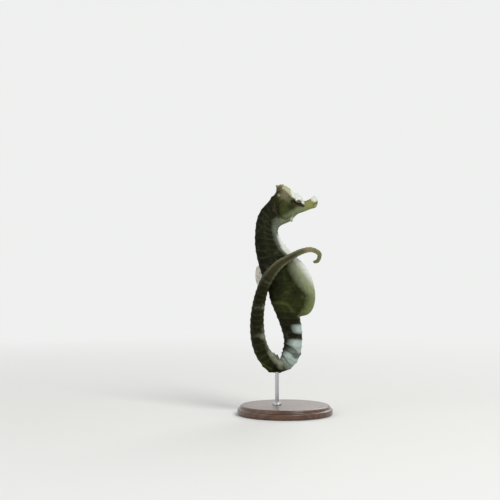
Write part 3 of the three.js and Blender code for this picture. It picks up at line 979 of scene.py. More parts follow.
def new_group(name, inputs, outputs):
    """An empty shader group with named number inputs and outputs."""
    tree = bpy.data.node_groups.new(name, "ShaderNodeTree")
    for key, default in inputs.items():
        tree.interface.new_socket(key, in_out="INPUT", socket_type="NodeSocketFloat").default_value = default
    for key in outputs:
        tree.interface.new_socket(key, in_out="OUTPUT", socket_type="NodeSocketFloat")
    return tree, tree.nodes.new("NodeGroupInput").outputs, tree.nodes.new("NodeGroupOutput").inputs


def ragged_edge():
    """Group: breaks the edge of a soft mask up with noise, then stretches it from its start to its end."""
    name = "Ragged edge"
    if name in bpy.data.node_groups:
        return bpy.data.node_groups[name]
    inputs = {"Mask": 0.0, "Start": 0.3, "End": 0.7, "Scale": 900.0, "Raggedness": 0.3}
    tree, given, out = new_group(name, inputs, ["Mask"])
    w = Wiring(tree)
    noise = w.noise(w.place(), given["Scale"], 4.0, 0.62)
    shift = w.times(w.minus(noise, 0.5), given["Raggedness"])
    within = w.times(given["Mask"], w.minus(1.0, given["Mask"]))
    shift = w.times(shift, w.math("MINIMUM", w.times(within, 8.0), 1.0))
    moved = w.minus(w.plus(given["Mask"], shift), given["Start"])
    stretched = w.math("DIVIDE", moved, w.minus(given["End"], given["Start"]), clamp=True)
    tree.links.new(stretched, out["Mask"])
    return tree


def skin_grain():
    """Group: the height of fine wrinkles and pores, and a mottle from 0 to 1."""
    name = "Skin grain"
    if name in bpy.data.node_groups:
        return bpy.data.node_groups[name]
    tree, given, out = new_group(name, {"Scale": 1.0}, ["Height", "Mottle"])
    w = Wiring(tree)
    place = w.place()
    wrinkles, pores, mottle = (w.times(given["Scale"], value) for value in (2600.0, 1500.0, 420.0))
    wrinkles = w.noise(place, wrinkles, 3.0, 0.6)
    pores = w.node("TexVoronoi", {"Vector": place, "Scale": pores}, feature="F1")
    height = w.plus(w.times(wrinkles, 0.6), w.times(pores, 0.4))
    mottle = w.noise(place, mottle, 6.0, 0.66)
    tree.links.new(height, out["Height"])
    tree.links.new(w.rise(mottle, 0.33, 0.345), out["Mottle"])
    return tree


def new_material(name):
    """A material, a short way to add nodes to it, and its surface shader."""
    material = bpy.data.materials.new(name)
    material.use_nodes = True
    return material, Wiring(material.node_tree), material.node_tree.nodes["Principled BSDF"]


def plug(wiring, shader, **inputs):
    """Wires or sets inputs of the surface shader; an underscore in a name stands for a space."""
    for key, value in inputs.items():
        connect(wiring.tree, shader.inputs[key.replace("_", " ")], value)


def shades(hue, spread):
    """A darker and a lighter shade of a colour."""
    return [tuple(min(1.0, c * share) for c in hue[:3]) + (1.0,) for share in (1 - spread, 1 + spread)]


# Layers of colour laid over the skin one by one. Each row: mask, colour from the settings, how far its tone
# varies, where the mask's edge starts and ends, fineness and strength of the edge's raggedness, share.
TRUNK_LAYERS = (
    # Blotches: dark marks, with one of painted shade on the pouch.
    ("blotches", "back", 0.35, 0.2, 0.8, 500.0, 0.5, 0.62),
    ("seam", "seam", 0.0, 0.1, 0.9, 900.0, 0.5, 0.5),
    ("yellow", "seam", 0.0, 0.2, 0.8, 900.0, 0.5, 0.6),
    ("head", "cheek", 0.4, 0.2, 0.8, 900.0, 0.5, 1.0),
    ("temple", "temple", 0.35, 0.25, 0.75, 600.0, 0.8, 0.85),
    ("jaw", "jaw", 0.2, 0.15, 0.85, 900.0, 0.5, 0.85),
    # Painted shade on the side of the neck.
    ("shade", "painted_neck_shade", 0.16, 0.1, 0.95, 900.0, 0.35, 1.0),
)
TAIL_LAYERS = (
    ("inner limb", "faded_band", 0.2, 0.1, 0.95, 900.0, 0.5, 0.5),
    ("inner edge", "faded_band", 0.16, 0.1, 0.95, 900.0, 0.5, 0.9),
    ("inner knob", "faded_band", 0.16, 0.1, 0.95, 900.0, 0.5, 0.8),
)
TOP_LAYERS = (
    ("turn bar", "mark", 0.35, 0.1, 0.9, 900.0, 0.5, 0.5),
    ("snout", "snout", 0.16, 0.1, 0.9, 900.0, 0.5, 1.0),
    ("crest", "crest", 0.14, 0.1, 0.7, 900.0, 0.5, 1.0),
    ("knobs", "crest", 0.14, 0.1, 0.9, 900.0, 0.5, 1.0),
    # Marks: dark marks on the head, with painted shade behind the gill cover and under the coronet.
    ("marks", "mark", 0.35, 0.15, 0.7, 700.0, 0.9, 0.85),
    # Painted highlight on the brow.
    ("brow", "white", 0.06, 0.2, 0.75, 900.0, 0.3, 1.0),
    # Bar: dark marking and painted shadow under the eye.
    ("bar", "mark", 0.35, 0.2, 0.8, 900.0, 0.35, 0.95),
    # Painted highlight on the lips.
    ("lip", "white", 0.08, 0.2, 0.75, 900.0, 0.5, 0.9),
)
# Colours of the tail's end, each at its station.
END_COLOURS = (
    (30.4, "crossing"), (32.2, "crossing"), (32.8, "arch"), (33.1, "arch"), (33.5, "blush"), (34.1, "blush"),
    (34.6, "tip"),
)
END_START, END_FADE = 29.0, 2.2  # station where the tail's end begins to show, stations until it is full
FADED_START, FADED_FADE = 21.6, 0.4  # the same for the faded bands


def skin_material(settings):
    """Satin armoured skin: olive brown ground with the markings, painted shade and painted highlights laid
    over it one by one.
    """
    material, w, shader = new_material("Skin")
    grain = skin_grain()
    scales = (2.2, 1.0, 0.6, 0.36)
    fine, mottle, patchy, broad = (w.group(grain, {"Scale": scale}, "Mottle") for scale in scales)
    tone = w.plus(w.times(mottle, 0.6), w.times(fine, 0.4))
    along = w.attribute("along")

    def faint(name, share):
        """A share of a mask."""
        return w.times(w.attribute(name), share)

    def tint(hue, spread=0.35):
        """A colour that varies with the skin's tone."""
        return w.mix(tone, *shades(hue, spread)) if spread else hue

    def mask(name, start, end, scale=900.0, raggedness=0.5, share=1.0):
        """A share of a mask with its edge broken up."""
        given = {"Mask": w.attribute(name), "Start": start, "End": end, "Scale": scale}
        return w.times(w.group(ragged_edge(), given | {"Raggedness": raggedness}), share)

    def lay(ground, layers):
        """The ground with each layer over the one before."""
        for name, hue, spread, *edge_and_share in layers:
            ground = w.mix(mask(name, *edge_and_share), ground, tint(getattr(settings, hue), spread))
        return ground

    # Dark ground with the paler lines of the armour, partly painted highlight on its raised rings and corners
    rounded_back = w.math("MAXIMUM", w.rise(w.attribute("girth"), 0.52, 0.3), w.times(broad, 0.7))
    ground = w.mix(rounded_back, tint(settings.flank), tint(settings.back, 0.3))
    ground = w.mix(faint("tail", 0.75), ground, tint(settings.tail, 0.45))
    # Painted shade on the pouch's side, and green on the sides of the tail.
    ground = w.mix(mask("belly", 0.1, 0.9), ground, tint(settings.belly))
    lines = w.math("MAXIMUM", w.attribute("ring"), faint("corner", 0.8))
    broken = w.times(lines, w.plus(w.times(broad, 0.24), 0.02))
    ground = w.mix(w.math("MAXIMUM", broken, w.rise(patchy, 0.6, 1.0)), ground, tint(settings.ridge_lines_and_highlight))

    # Trunk, head, and the painted shade and painted highlight on the fronts of the neck and pouch
    ground = lay(ground, TRUNK_LAYERS)
    cream = w.mix(w.attribute("low"), tint(settings.cream, 0.16), tint(settings.rim, 0.16))
    ground = w.mix(mask("cream", 0.05, 0.95, 500.0, 0.3), ground, cream)
    # Painted highlight on the lit fronts of the neck and pouch.
    ground = w.mix(mask("white", 0.15, 0.8, 900.0, 0.35), ground, tint(settings.white, 0.06))

    # Tail
    stops = [(station / LAST, tuple(getattr(settings, hue))) for station, hue in END_COLOURS]
    end_colour = w.mix(w.times(tone, 0.4), w.ramp(along, stops), settings.mark)
    end_colour = w.mix(faint("corner", 0.42), end_colour, settings.faded_band)
    ground = w.mix(w.rise(along, END_START / LAST, END_FADE / LAST), ground, end_colour)
    ground = lay(ground, TAIL_LAYERS)
    past = w.rise(along, FADED_START / LAST, FADED_FADE / LAST)
    band = w.mix(past, tint(settings.band, 0.1), tint(settings.faded_band, 0.2))
    ground = w.mix(mask("bands", 0.12, 0.85, 1100.0, 0.32), ground, band)

    # Face with its painted highlights and shade, slits and the dark bar in the tail's turn
    ground = lay(ground, TOP_LAYERS)
    ground = w.mix(faint("slit", 0.45), ground, settings.back)
    ground = w.mix(faint("cleft", 0.8), ground, settings.crossing)

    height = w.group(grain, {"Scale": 1.0}, "Height")
    bump = w.node("Bump", {"Strength": 0.35, "Distance": settings.wrinkle, "Height": height})
    rough = w.plus(w.times(mottle, 0.2), 0.42)
    plug(w, shader, Base_Color=ground, Roughness=rough, Normal=bump, Specular_IOR_Level=0.06)
    return material


# ---- Pieces --------------------------------------------------------------------------------------------

FLESH = [
    "mouth", "snout", "head", "neck", "trunk_upper", "trunk_lower", "pouch", "tail_root", "tail_front_limb",
    "tail_loop_front", "tail_loop_back", "tail_back_limb_lower", "tail_back_limb_upper", "tail_crossing",
    "tail_end", "tail_tip", "gill_cover_left", "gill_cover_right",
]


def build_skin(settings):
    """One skin from the lips to the tip of the tail.

    It has two zones of rows, the second with every other column, joined by a row of triangles: two that stand
    on each pair of the first zone's sides and one that hangs from the second zone's side between them.
    """
    station = skin_rows()
    angle = skin_columns()
    fine = station < FINE_END
    points = skin_points(station, angle, settings)
    near, far = int(fine.sum()), int((~fine).sum())
    half = FINE_COLUMNS // 2
    far_start = near * FINE_COLUMNS
    count = far_start + far * half

    def two_zones(values):
        """A grid's values in the order of the vertices."""
        shape = (-1, *values.shape[2:])
        return np.concatenate([values[fine].reshape(shape), values[~fine][:, ::2].reshape(shape)])

    j = np.arange(half)
    a = far_start - FINE_COLUMNS + 2 * j
    b = a + 1
    c = far_start - FINE_COLUMNS + (2 * j + 2) % FINE_COLUMNS
    d = far_start + j
    e = far_start + (j + 1) % half
    joint = np.concatenate([np.stack(corners, axis=-1) for corners in ((a, d, b), (b, d, e), (b, e, c))])
    faces = ring_faces(near, FINE_COLUMNS).tolist() + ring_faces(far, half, far_start).tolist()
    faces += joint.tolist() + cap_faces(count, np.arange(FINE_COLUMNS)).tolist()
    faces += cap_faces(count + 1, count - half + j)[:, ::-1].tolist()
    ends = np.array([points[0].mean(0), points[-1].mean(0)])
    piece = new_mesh("body_skin", np.vstack([two_zones(points), ends]), faces)
    for name, values in markings_and_painted_light(points, station, angle).items():
        attribute(piece, name, np.concatenate([two_zones(values), values[[0, -1]].mean(1)]))
    place_piece(piece, skin_material(settings), FLESH)


PUPIL_RING = 0.13  # width of the gold ring


def build_eye(name, side, settings):
    """An eyeball: rings about the line of sight, from the pupil to the back, with a slightly raised front."""
    rows, columns = 44, 72
    fall = np.linspace(0.0, np.pi, rows + 2)[1:-1, None]
    turn = np.linspace(0, 2 * np.pi, columns, endpoint=False)
    look = EYE_LOOK * [1, side, 1]
    across = unit(np.cross(look, [0, 0, 1.0]))
    up = np.cross(across, look)
    radius = settings.radius / MM
    bulge = 1 + 0.05 * hill(fall, 0.55)
    ball = (
        np.cos(fall)[..., None] * look
        + (np.sin(fall) * np.cos(turn))[..., None] * across
        + (np.sin(fall) * np.sin(turn))[..., None] * up
    )
    grid = EYE_PLACE * [1, side, 1] + radius * bulge[..., None] * ball
    piece = loft(f"eyeball_{name}", grid)
    out = np.broadcast_to(radius * np.sin(np.minimum(fall, np.pi / 2)), (rows, columns))
    spoke_x, spoke_y = np.cos(turn) + 0 * fall, np.sin(turn) + 0 * fall
    masks = {"from_pupil": out, "spoke_x": spoke_x, "spoke_y": spoke_y, "upward": ball[..., 2]}
    grid_attributes(piece, masks)
    return piece


def eye_material(settings):
    """A black pupil in a thin gold ring, and a streaked iris, silver on its lit top and in painted shade
    below, in an eyeball painted the same way.
    """
    material, w, shader = new_material("Eye")
    out = w.attribute("from_pupil")
    spokes = w.node("CombineXYZ", {0: w.attribute("spoke_x"), 1: w.attribute("spoke_y"), 2: 0.0})
    streaks = w.noise(spokes, 5.0, 4.0, 0.65)
    mottle = w.group(skin_grain(), {"Scale": 2.0}, "Mottle")

    def beyond(distance, softness=0.07):
        """0 inside a distance from the pupil's middle and 1 outside it, even over the softness."""
        away = w.minus(out, distance / MM)
        return w.plus(w.math("DIVIDE", away, softness), 0.5, clamp=True)

    # Painted light and shade: the top of the eye is lit silver and white, its lower half dark.
    lit_top = w.times(w.plus(w.attribute("upward"), 0.36), 4.0)
    lit_top = w.plus(lit_top, w.times(w.minus(mottle, 0.5), 0.6), clamp=True)
    iris = w.mix(lit_top, settings.shade, settings.silver)
    iris = w.mix(w.times(w.rise(streaks, 0.4, 0.286), 0.5), iris, settings.shade)
    rest = w.mix(lit_top, settings.shade, settings.white)
    surface = w.mix(beyond(settings.pupil), settings.black, settings.ring)
    surface = w.mix(beyond(settings.pupil + PUPIL_RING * MM), surface, iris)
    surface = w.mix(beyond(settings.iris, 0.4), surface, rest)
    plug(w, shader, Base_Color=surface, Roughness=0.15, Coat_Weight=1.0, Coat_Roughness=0.03)
    return material


# ---- Coronet -------------------------------------------------------------------------------------------

CORONET_PLACE, CORONET_LEAN = np.array([-3.1, 0.0, 141.62]), 0.16
# Half outline of the coronet, radius and height, from inside the head up its side, over the rim and into the
# dish on its top.
CORONET_OUTLINE = np.array(
    [
        [0.3, -2.6],
        [2.7, -2.4],
        [2.75, -1.4],
        [2.55, -0.3],
        [2.3, 0.8],
        [2.24, 1.6],
        [2.38, 2.35],
        [2.38, 2.75],
        [2.05, 2.85],
        [1.5, 2.45],
        [0.8, 2.2],
        [0.1, 2.15],
    ]
)


def build_coronet(settings):
    """The outline is turned about the coronet's axis; lobes push its rim out and up, evenly round it."""
    steps, columns = 56, 140
    outline = spline(CORONET_OUTLINE, np.linspace(0, len(CORONET_OUTLINE) - 1, steps))
    radius, height = outline[:, :1], outline[:, 1:]
    turn = np.linspace(0, 2 * np.pi, columns, endpoint=False)
    rim = smooth(0.2, 2.5, height) * smooth(0.8, 2.2, radius)
    lobes = rim * np.cos(settings.lobes * turn) * settings.lobe_depth / MM
    radius = radius + 0.8 * lobes
    height = height + 0.6 * lobes
    x, y = radius * np.cos(turn), 0.94 * radius * np.sin(turn)
    tilt = np.cos(CORONET_LEAN), np.sin(CORONET_LEAN)
    grid = np.stack([x * tilt[0] - height * tilt[1], y, x * tilt[1] + height * tilt[0]], axis=-1)
    piece = loft("coronet", CORONET_PLACE + grid, flip=True)
    grid_attributes(piece, {"height": height, "ahead": np.cos(turn) + 0 * height})
    return piece


def coronet_material(settings):
    """Brown sides and back in painted shade under the rim, beige in front, under a cream rim."""
    material, w, shader = new_material("Coronet")
    grain = skin_grain()
    tone = w.group(grain, {"Scale": 1.6}, "Mottle")
    raised = w.rise(w.attribute("height"), 0.0, 3.2)
    rim = w.group(ragged_edge(), {"Mask": raised, "Start": 0.4, "End": 0.72, "Raggedness": 0.5})
    # Painted shade: the sides and back under the rim are brown, the front beige.
    ahead = w.rise(w.attribute("ahead"), 0.1, 0.625)
    side, front, top = (
        w.mix(tone, *shades(hue, spread))
        for hue, spread in ((settings.side, 0.4), (settings.front, 0.25), (settings.top, 0.16))
    )
    surface = w.mix(rim, w.mix(ahead, side, front), top)
    height = w.group(grain, {"Scale": 1.0}, "Height")
    bump = w.node("Bump", {"Strength": 0.35, "Distance": 0.12 * MM, "Height": height})
    plug(w, shader, Base_Color=surface, Roughness=0.45, Normal=bump, Specular_IOR_Level=0.3)
    return material


# ---- Fins ----------------------------------------------------------------------------------------------


FIN_STEPS = 26  # from a fin's root to its tip
RIPPLES = 1.5  # waves along a fin


def fin(name, root, tip, rays, thickness, ripple=0.0, film=1.0):
    """A thin closed fan between a row of root points and a row of tip points.

    Each column runs out along one face from root to tip and back along the other. The fin thins towards its
    tip and its two ends. The rays are ribs in the thickness, the membrane between them draws the margin in a
    little, and the ripple waves it from side to side. The film says how pale the fin is, with 0 for the dark
    of a shaded fin.
    """
    columns = len(root)
    along = np.gradient((root + tip) / 2, axis=0)
    span = tip - root
    face = unit(np.cross(span, along))
    share = np.linspace(0, 1, columns)[:, None]
    rib = np.cos(np.pi * rays * share) ** 2
    out = np.linspace(0, 1, FIN_STEPS)
    ends = smooth(0, 0.03, share) * smooth(0, 0.03, 1 - share)
    half = thickness / 2 * (1 - 0.72 * out) * (0.6 + 0.4 * rib) * (0.25 + 0.75 * ends)
    wave = ripple * out * np.sin(2 * np.pi * RIPPLES * share)
    reach = out * (1 - 0.015 * (1 - rib) * out**3)
    middle = root[:, None] + span[:, None] * reach[..., None] + face[:, None] * wave[..., None]
    left = middle + face[:, None] * half[..., None]
    right = middle - face[:, None] * half[..., None]
    grid = np.concatenate([left, right[:, ::-1]], axis=1)
    piece = loft(name, grid)

    def both_faces(values):
        """Values out along one face and back along the other."""
        values = np.broadcast_to(values, (columns, FIN_STEPS))
        return np.concatenate([values, values[:, ::-1]], axis=1)

    grid_attributes(piece, {"rib": both_faces(rib), "out": both_faces(out), "film": both_faces(film)})
    return piece


DORSAL_FIN = {"from": 14.3, "to": 16.15, "sweep": 0.55}
PECTORAL_FIN = {"place": (-4.4, 4.2, 129.6), "spread": 1.25, "flare": 0.45}
ANAL_FIN = {"station": 13.9, "length": 3.0, "width": 2.4, "rays": 4}
MEMBRANE_ALPHA = 0.3


def back_line(station, angle):
    """Points of the plain body along its length at one angle."""
    origin, ray, reach = arms(station, np.array([angle]))
    return (origin + ray * reach[..., None])[:, 0]


def build_dorsal_fin(settings):
    """A fan along the back whose rays sweep down towards the tail, half folded."""
    share = np.linspace(0, 1, settings.dorsal_rays * 8 + 1)
    station = DORSAL_FIN["from"] + (DORSAL_FIN["to"] - DORSAL_FIN["from"]) * share
    root = back_line(station, np.pi)
    out = unit(-spline(SECTIONS, station)[:, 3:6])
    down = unit(np.gradient(spline(SECTIONS, station)[:, :3], axis=0))
    height = settings.dorsal_height / MM * np.sin(np.pi * (0.04 + 0.9 * share))[:, None] ** 0.5
    tip = root + height * (out + DORSAL_FIN["sweep"] * down)
    thickness = settings.thickness / MM
    return fin("dorsal_fin", root - 0.9 * out, tip, settings.dorsal_rays, thickness, ripple=0.35)


def build_pectoral_fin(name, side, settings):
    """A small fan behind the gill cover, standing a little off the neck."""
    rays = settings.pectoral_rays
    angle = PECTORAL_FIN["spread"] * np.linspace(1, -1, rays * 8 + 1)
    reach = settings.pectoral_length / MM * (0.92 + 0.08 * np.cos(2 * angle))
    flat = np.stack([-np.cos(angle), 0 * angle, -np.sin(angle)], axis=-1)
    turn = np.cos(PECTORAL_FIN["flare"]), np.sin(PECTORAL_FIN["flare"])
    fan = flat * [turn[0], 1, 1] - flat[:, [1, 0, 2]] * [0, side * turn[1], 0]
    place = np.array(PECTORAL_FIN["place"]) * [1, side, 1]
    root = place + fan * [0.5, 0.5, 0.8]
    tip = place + fan * reach[:, None]
    thickness = 0.7 * settings.thickness / MM
    # film=0.05 paints the cheek fins nearly all in the shaded colour: painted shade behind the gill cover.
    return fin(f"pectoral_fin_{name}", root, tip, rays, thickness, ripple=0.15 * side, film=0.05)


def build_anal_fin(settings):
    """A short blade at the vent, just above the pouch."""
    station = np.full(1, ANAL_FIN["station"])
    root_place = back_line(station, 0.0)[0]
    share = np.linspace(-1, 1, ANAL_FIN["rays"] * 8 + 1)[:, None]
    root = root_place + np.array([-0.8, 0, 0]) + share * np.array([0, 0, -0.9])
    tip = root_place + np.array([ANAL_FIN["length"], 0, 0]) * (1 - 0.25 * share**2)
    tip = tip + share * np.array([0, 0, -ANAL_FIN["width"] / 2])
    return fin("anal_fin", root, tip, ANAL_FIN["rays"], 0.6 * settings.thickness / MM)


def fin_material(settings):
    """Thin freckled membrane that lets light through between paler rays."""
    material, w, shader = new_material("Fin membrane")
    rib, out = w.attribute("rib"), w.attribute("out")
    mottle = w.group(skin_grain(), {"Scale": 2.6}, "Mottle")
    freckle = w.rise(mottle, 0.55, 0.25)
    ray = w.rise(rib, 0.7, 0.294)
    surface = w.mix(w.times(ray, 0.7), settings.membrane, settings.ray)
    surface = w.mix(w.times(freckle, 0.5), surface, settings.freckle)
    surface = w.mix(w.attribute("film"), settings.shaded, surface)
    solid = w.plus(w.plus(w.times(ray, 0.34), w.times(freckle, 0.2)), MEMBRANE_ALPHA)
    root = w.minus(1.0, w.times(out, 4.0), clamp=True)
    opaque = w.math("MAXIMUM", solid, root)
    plug(w, shader, Base_Color=surface, Alpha=opaque, Roughness=0.45, Specular_IOR_Level=0.2)
    return material


# ---- Stand ---------------------------------------------------------------------------------------------


def turned(name, outline, place, columns=128):
    """A closed piece turned about an upright axis from its half outline of radius and height."""
    outline = np.array(outline, float)
    turn = np.linspace(0, 2 * np.pi, columns, endpoint=False)
    radius, height = outline[:, :1], outline[:, 1:]
    grid = np.stack([radius * np.cos(turn), radius * np.sin(turn), height + 0 * turn], axis=-1)
    return loft(name, np.array(place) + grid, flip=True)


def rounded(corners, radius, steps=8):
    """An outline whose inner corners are rounded: each corner becomes a short curve tangent to both sides."""
    corners = np.array(corners, float)
    made = [corners[:1]]
    t = np.linspace(0, 1, steps)[:, None]
    for before, at, after in zip(corners[:-2], corners[1:-1], corners[2:]):
        start = at + unit(before - at) * min(radius, np.linalg.norm(before - at) / 2)
        stop = at + unit(after - at) * min(radius, np.linalg.norm(after - at) / 2)
        made.append((1 - t) ** 2 * start + 2 * t * (1 - t) * at + t**2 * stop)
    return np.vstack([*made, corners[-1:]])


def build_base(settings):
    """A turned wooden base: the half outline of its foot, cove and stepped top, with rounded corners."""
    _, high = (np.array(v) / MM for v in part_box("stand_base"))
    radius, top = high[0], high[2]
    step, rounding = settings.step / MM, settings.rounding / MM
    outline = [
        (0.2, 0), (radius - 0.9, 0), (radius, 0.8), (radius, top - 2.4), (radius - step, top - 1.9),
        (radius - step, top - 0.7), (radius - step - 0.9, top), (0.2, top),
    ]
    base = turned("turned_base", rounded(outline, rounding), (0, 0, 0), 192)
    place_piece(base, wood_material(settings), ["stand_base"])


ROD_SINK = 1.0  # how much further the rod runs into the tail than its solid
INNER = 0.05  # radius at which an outline starts and ends, just off its axis


def build_rod(settings):
    """A straight round rod and the small bevelled collar at its foot, hollowed a little round the rod."""
    low, high = (np.array(v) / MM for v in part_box("stand_rod"))
    x, radius = (low[0] + high[0]) / 2, (high[0] - low[0]) / 2
    tip = high[2] + ROD_SINK
    outline = [(INNER, low[2]), (radius, low[2]), (radius, tip), (INNER, tip)]
    rod = turned("rod", rounded(outline, 0.3), (x, 0, 0), 64)
    low, high = (np.array(v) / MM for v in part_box("stand_collar"))
    wide, foot, top = (high[0] - low[0]) / 2, low[2] - 0.4, high[2]
    outline = [
        (INNER, foot), (wide, foot), (wide, foot + 0.9), (wide - 0.7, top), (radius + 0.35, top),
        (radius - 0.1, top - 0.3), (INNER, top - 0.3),
    ]
    collar = turned("collar", rounded(outline, 0.25), (x, 0, 0), 96)
    steel = steel_material(settings)
    place_piece(rod, steel, ["stand_rod"])
    place_piece(collar, steel, ["stand_collar"])


def wood_material(settings):
    """Stained wood with long grain along X under a satin varnish."""
    material, w, shader = new_material("Stained wood")
    place = w.place()
    stretched = w.node("Mapping", {"Vector": place, "Scale": (0.12, 1.0, 1.0)})
    rings = w.noise(stretched, 260.0, 3.0, distortion=0.6)
    wave = {"Vector": stretched, "Scale": 90.0, "Distortion": 9.0, "Detail": 3.0}
    bands = w.node("TexWave", wave, output=1, bands_direction="Y")
    drawn_out = w.node("Mapping", {"Vector": place, "Scale": (0.06, 1.0, 1.0)})
    pores = w.noise(drawn_out, 2600.0, 2.0)
    tone = w.plus(w.times(rings, 0.55), w.times(bands, 0.45))
    surface = w.mix(tone, settings.wood_dark, settings.wood_light)
    pore = w.times(w.minus(0.42, pores), 6.0, clamp=True)
    surface = w.mix(w.times(pore, 0.7), surface, shades(settings.wood_dark, 0.5)[0])
    bump = w.node("Bump", {"Strength": 0.15, "Distance": 0.1 * MM, "Height": w.minus(1.0, pore)})
    rough = w.plus(0.34, w.times(pore, 0.2))
    plug(w, shader, Base_Color=surface, Roughness=rough, Normal=bump, Coat_Weight=0.3, Coat_Roughness=0.2)
    return material


def steel_material(settings):
    """Steel brushed round the rod, with a faint change of tone."""
    material, w, shader = new_material("Brushed steel")
    drawn = w.node("Mapping", {"Vector": w.place(), "Scale": (1.0, 1.0, 14.0)})
    brush = w.noise(drawn, 900.0, 3.0)
    surface = w.mix(brush, *shades(settings.steel, 0.2))
    rough = w.plus(0.2, w.times(brush, 0.2))
    plug(w, shader, Base_Color=surface, Metallic=1.0, Roughness=rough)
    return material


# ---- Stage ---------------------------------------------------------------------------------------------


FLOOR_FADE = (0.16, 0.5)  # metres from the stand where the floor starts to fade, and over which it does
LAMP_AIM = (0, 0, 0.09)  # in metres
# Each lamp: place and size in metres, share of the main lamp's power.
LAMPS = {
    "Key": ((0.55, -0.75, 0.85), 0.5, 1.0),
    "Fill": ((-0.9, -0.6, 0.45), 0.8, 0.39),
    "Back": ((0.3, 0.9, 0.7), 0.6, 0.44),
}
CAMERA_PLACE = (-22.05, -743.75, 103.5)  # in the tables' millimetres


def floor_material(settings):
    """A pale matt floor that fades into the background's own tone away from the stand."""
    material, w, shader = new_material("Pale floor")
    away = w.node("VectorMath", {0: w.place()}, output=1, operation="LENGTH")
    fade = w.rise(away, *FLOOR_FADE)
    glow = w.node("Emission", {"Color": settings.background, "Strength": 1.0})
    plug(w, shader, Base_Color=settings.floor, Roughness=0.85)
    mixed = w.node("MixShader", {0: fade, 1: shader.outputs[0], 2: glow})
    w.tree.links.new(mixed, w.tree.nodes["Material Output"].inputs["Surface"])
    return material


def build_floor(settings):
    """A wide flat disc at the height of the base's underside."""
    bpy.ops.mesh.primitive_circle_add(vertices=128, radius=4.0, fill_type="TRIFAN", location=(0, 0, 0))
    floor = bpy.context.active_object
    floor.name = "floor"
    floor.data.materials.append(floor_material(settings))


def build_world(settings):
    """Soft even light; the camera, mirrors and glass see the plain background instead."""
    world = bpy.data.worlds.new("Studio")
    world.use_nodes = True
    bpy.context.scene.world = world
    w = Wiring(world.node_tree)
    paths = world.node_tree.nodes.new("ShaderNodeLightPath").outputs
    mirrored = w.math("MAXIMUM", paths["Is Glossy Ray"], paths["Is Transmission Ray"])
    seen = w.math("MAXIMUM", paths["Is Camera Ray"], mirrored)
    lit = w.node("Background", {"Color": (1, 1, 1, 1), "Strength": 0.4})
    shown = w.node("Background", {"Color": settings.background, "Strength": 1.0})
    mixed = w.node("MixShader", {0: seen, 1: lit, 2: shown})
    world.node_tree.links.new(mixed, world.node_tree.nodes["World Output"].inputs["Surface"])


def add_lamp(name, place, size, power):
    """A square lamp that faces the middle of the animal."""
    light = bpy.data.lights.new(name, "AREA")
    light.size = size
    light.energy = power
    lamp = bpy.data.objects.new(name, light)
    bpy.context.scene.collection.objects.link(lamp)
    lamp.location = place
    lamp.rotation_euler = (Vector(LAMP_AIM) - Vector(place)).to_track_quat("-Z", "Y").to_euler()
    lamp.visible_camera = False


def build_camera():
    """A level camera on the animal's right, a long lens's distance away."""
    camera = bpy.data.cameras.new("Camera")
    camera.lens, camera.sensor_width = 85.0, 36.0
    camera.clip_start, camera.clip_end = 0.01, 20.0
    holder = bpy.data.objects.new("Camera", camera)
    bpy.context.scene.collection.objects.link(holder)
    holder.location = [value * MM for value in CAMERA_PLACE]
    holder.rotation_euler = (np.pi / 2, 0, 0)
    bpy.context.scene.camera = holder


# ---- Operators -----------------------------------------------------------------------------------------


class SEAHORSE_OT_skin(Operator):
    """Builds the one skin of the head, trunk, pouch and tail"""

    bl_idname = "seahorse.skin"
    bl_label = "Skin"

    def execute(self, context):
        build_skin(context.scene.seahorse.skin)
        return {"FINISHED"}


class SEAHORSE_OT_eyes(Operator):
    """Builds both eyeballs"""

    bl_idname = "seahorse.eyes"
    bl_label = "Eyes"

    def execute(self, context):
        settings = context.scene.seahorse.eyes
        look = eye_material(settings)
        for name, side in SIDES.items():
            place_piece(build_eye(name, side, settings), look, [f"eye_{name}"])
        return {"FINISHED"}


class SEAHORSE_OT_coronet(Operator):
    """Builds the bony coronet on the head"""

    bl_idname = "seahorse.coronet"
    bl_label = "Coronet"

    def execute(self, context):
        settings = context.scene.seahorse.coronet
        place_piece(build_coronet(settings), coronet_material(settings), ["coronet"])
        return {"FINISHED"}


class SEAHORSE_OT_fins(Operator):
    """Builds the fin on the back, the small fin at the vent and both cheek fins"""

    bl_idname = "seahorse.fins"
    bl_label = "Fins"

    def execute(self, context):
        settings = context.scene.seahorse.fins
        membrane = fin_material(settings)
        place_piece(build_dorsal_fin(settings), membrane, ["fin_dorsal"])
        place_piece(build_anal_fin(settings), membrane, ["fin_anal"])
        for name, side in SIDES.items():
            piece = build_pectoral_fin(name, side, settings)
            place_piece(piece, membrane, [f"fin_pectoral_{name}"])
        return {"FINISHED"}


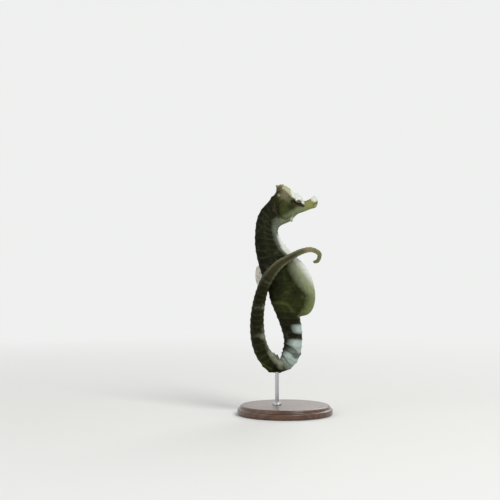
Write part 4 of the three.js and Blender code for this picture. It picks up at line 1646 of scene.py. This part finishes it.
class SEAHORSE_OT_stand(Operator):
    """Builds the turned base, and the rod with its collar"""

    bl_idname = "seahorse.stand"
    bl_label = "Stand"

    def execute(self, context):
        settings = context.scene.seahorse.stand
        build_base(settings)
        build_rod(settings)
        return {"FINISHED"}


class SEAHORSE_OT_stage(Operator):
    """Sets out the floor, the background, the lamps and the camera"""

    bl_idname = "seahorse.stage"
    bl_label = "Stage"

    def execute(self, context):
        settings = context.scene.seahorse.stage
        build_floor(settings)
        build_world(settings)
        for name, (place, size, share) in LAMPS.items():
            add_lamp(name, place, size, share * settings.lamp_power)
        build_camera()
        context.scene.view_settings.view_transform = "Standard"
        return {"FINISHED"}


STEPS = ("skin", "eyes", "coronet", "fins", "stand", "stage")  # the operators in order


class SEAHORSE_PT_panel(Panel):
    """Lists the seahorse's operators with their sizes and colours"""

    bl_idname = "SEAHORSE_PT_panel"
    bl_label = "Seahorse"
    bl_space_type = "VIEW_3D"
    bl_region_type = "UI"
    bl_category = "Seahorse"

    def draw(self, context):
        for name in STEPS:
            box = self.layout.box()
            box.operator(f"seahorse.{name}")
            settings = getattr(context.scene.seahorse, name)
            for key in settings.__annotations__:
                box.prop(settings, key)


CLASSES = (
    SkinSettings,
    EyeSettings,
    CoronetSettings,
    FinSettings,
    StandSettings,
    StageSettings,
    SeahorseSettings,
    SEAHORSE_OT_skin,
    SEAHORSE_OT_eyes,
    SEAHORSE_OT_coronet,
    SEAHORSE_OT_fins,
    SEAHORSE_OT_stand,
    SEAHORSE_OT_stage,
    SEAHORSE_PT_panel,
)


def register():
    """Makes the settings, operators and panel known."""
    for cls in CLASSES:
        bpy.utils.register_class(cls)
    bpy.types.Scene.seahorse = PointerProperty(type=SeahorseSettings)


def unregister():
    """Takes the settings, operators and panel away again."""
    del bpy.types.Scene.seahorse
    for cls in reversed(CLASSES):
        bpy.utils.unregister_class(cls)


def main():
    """Builds everything in order."""
    register()
    for name in STEPS:
        getattr(bpy.ops.seahorse, name)()


if __name__ == "__main__":
    main()
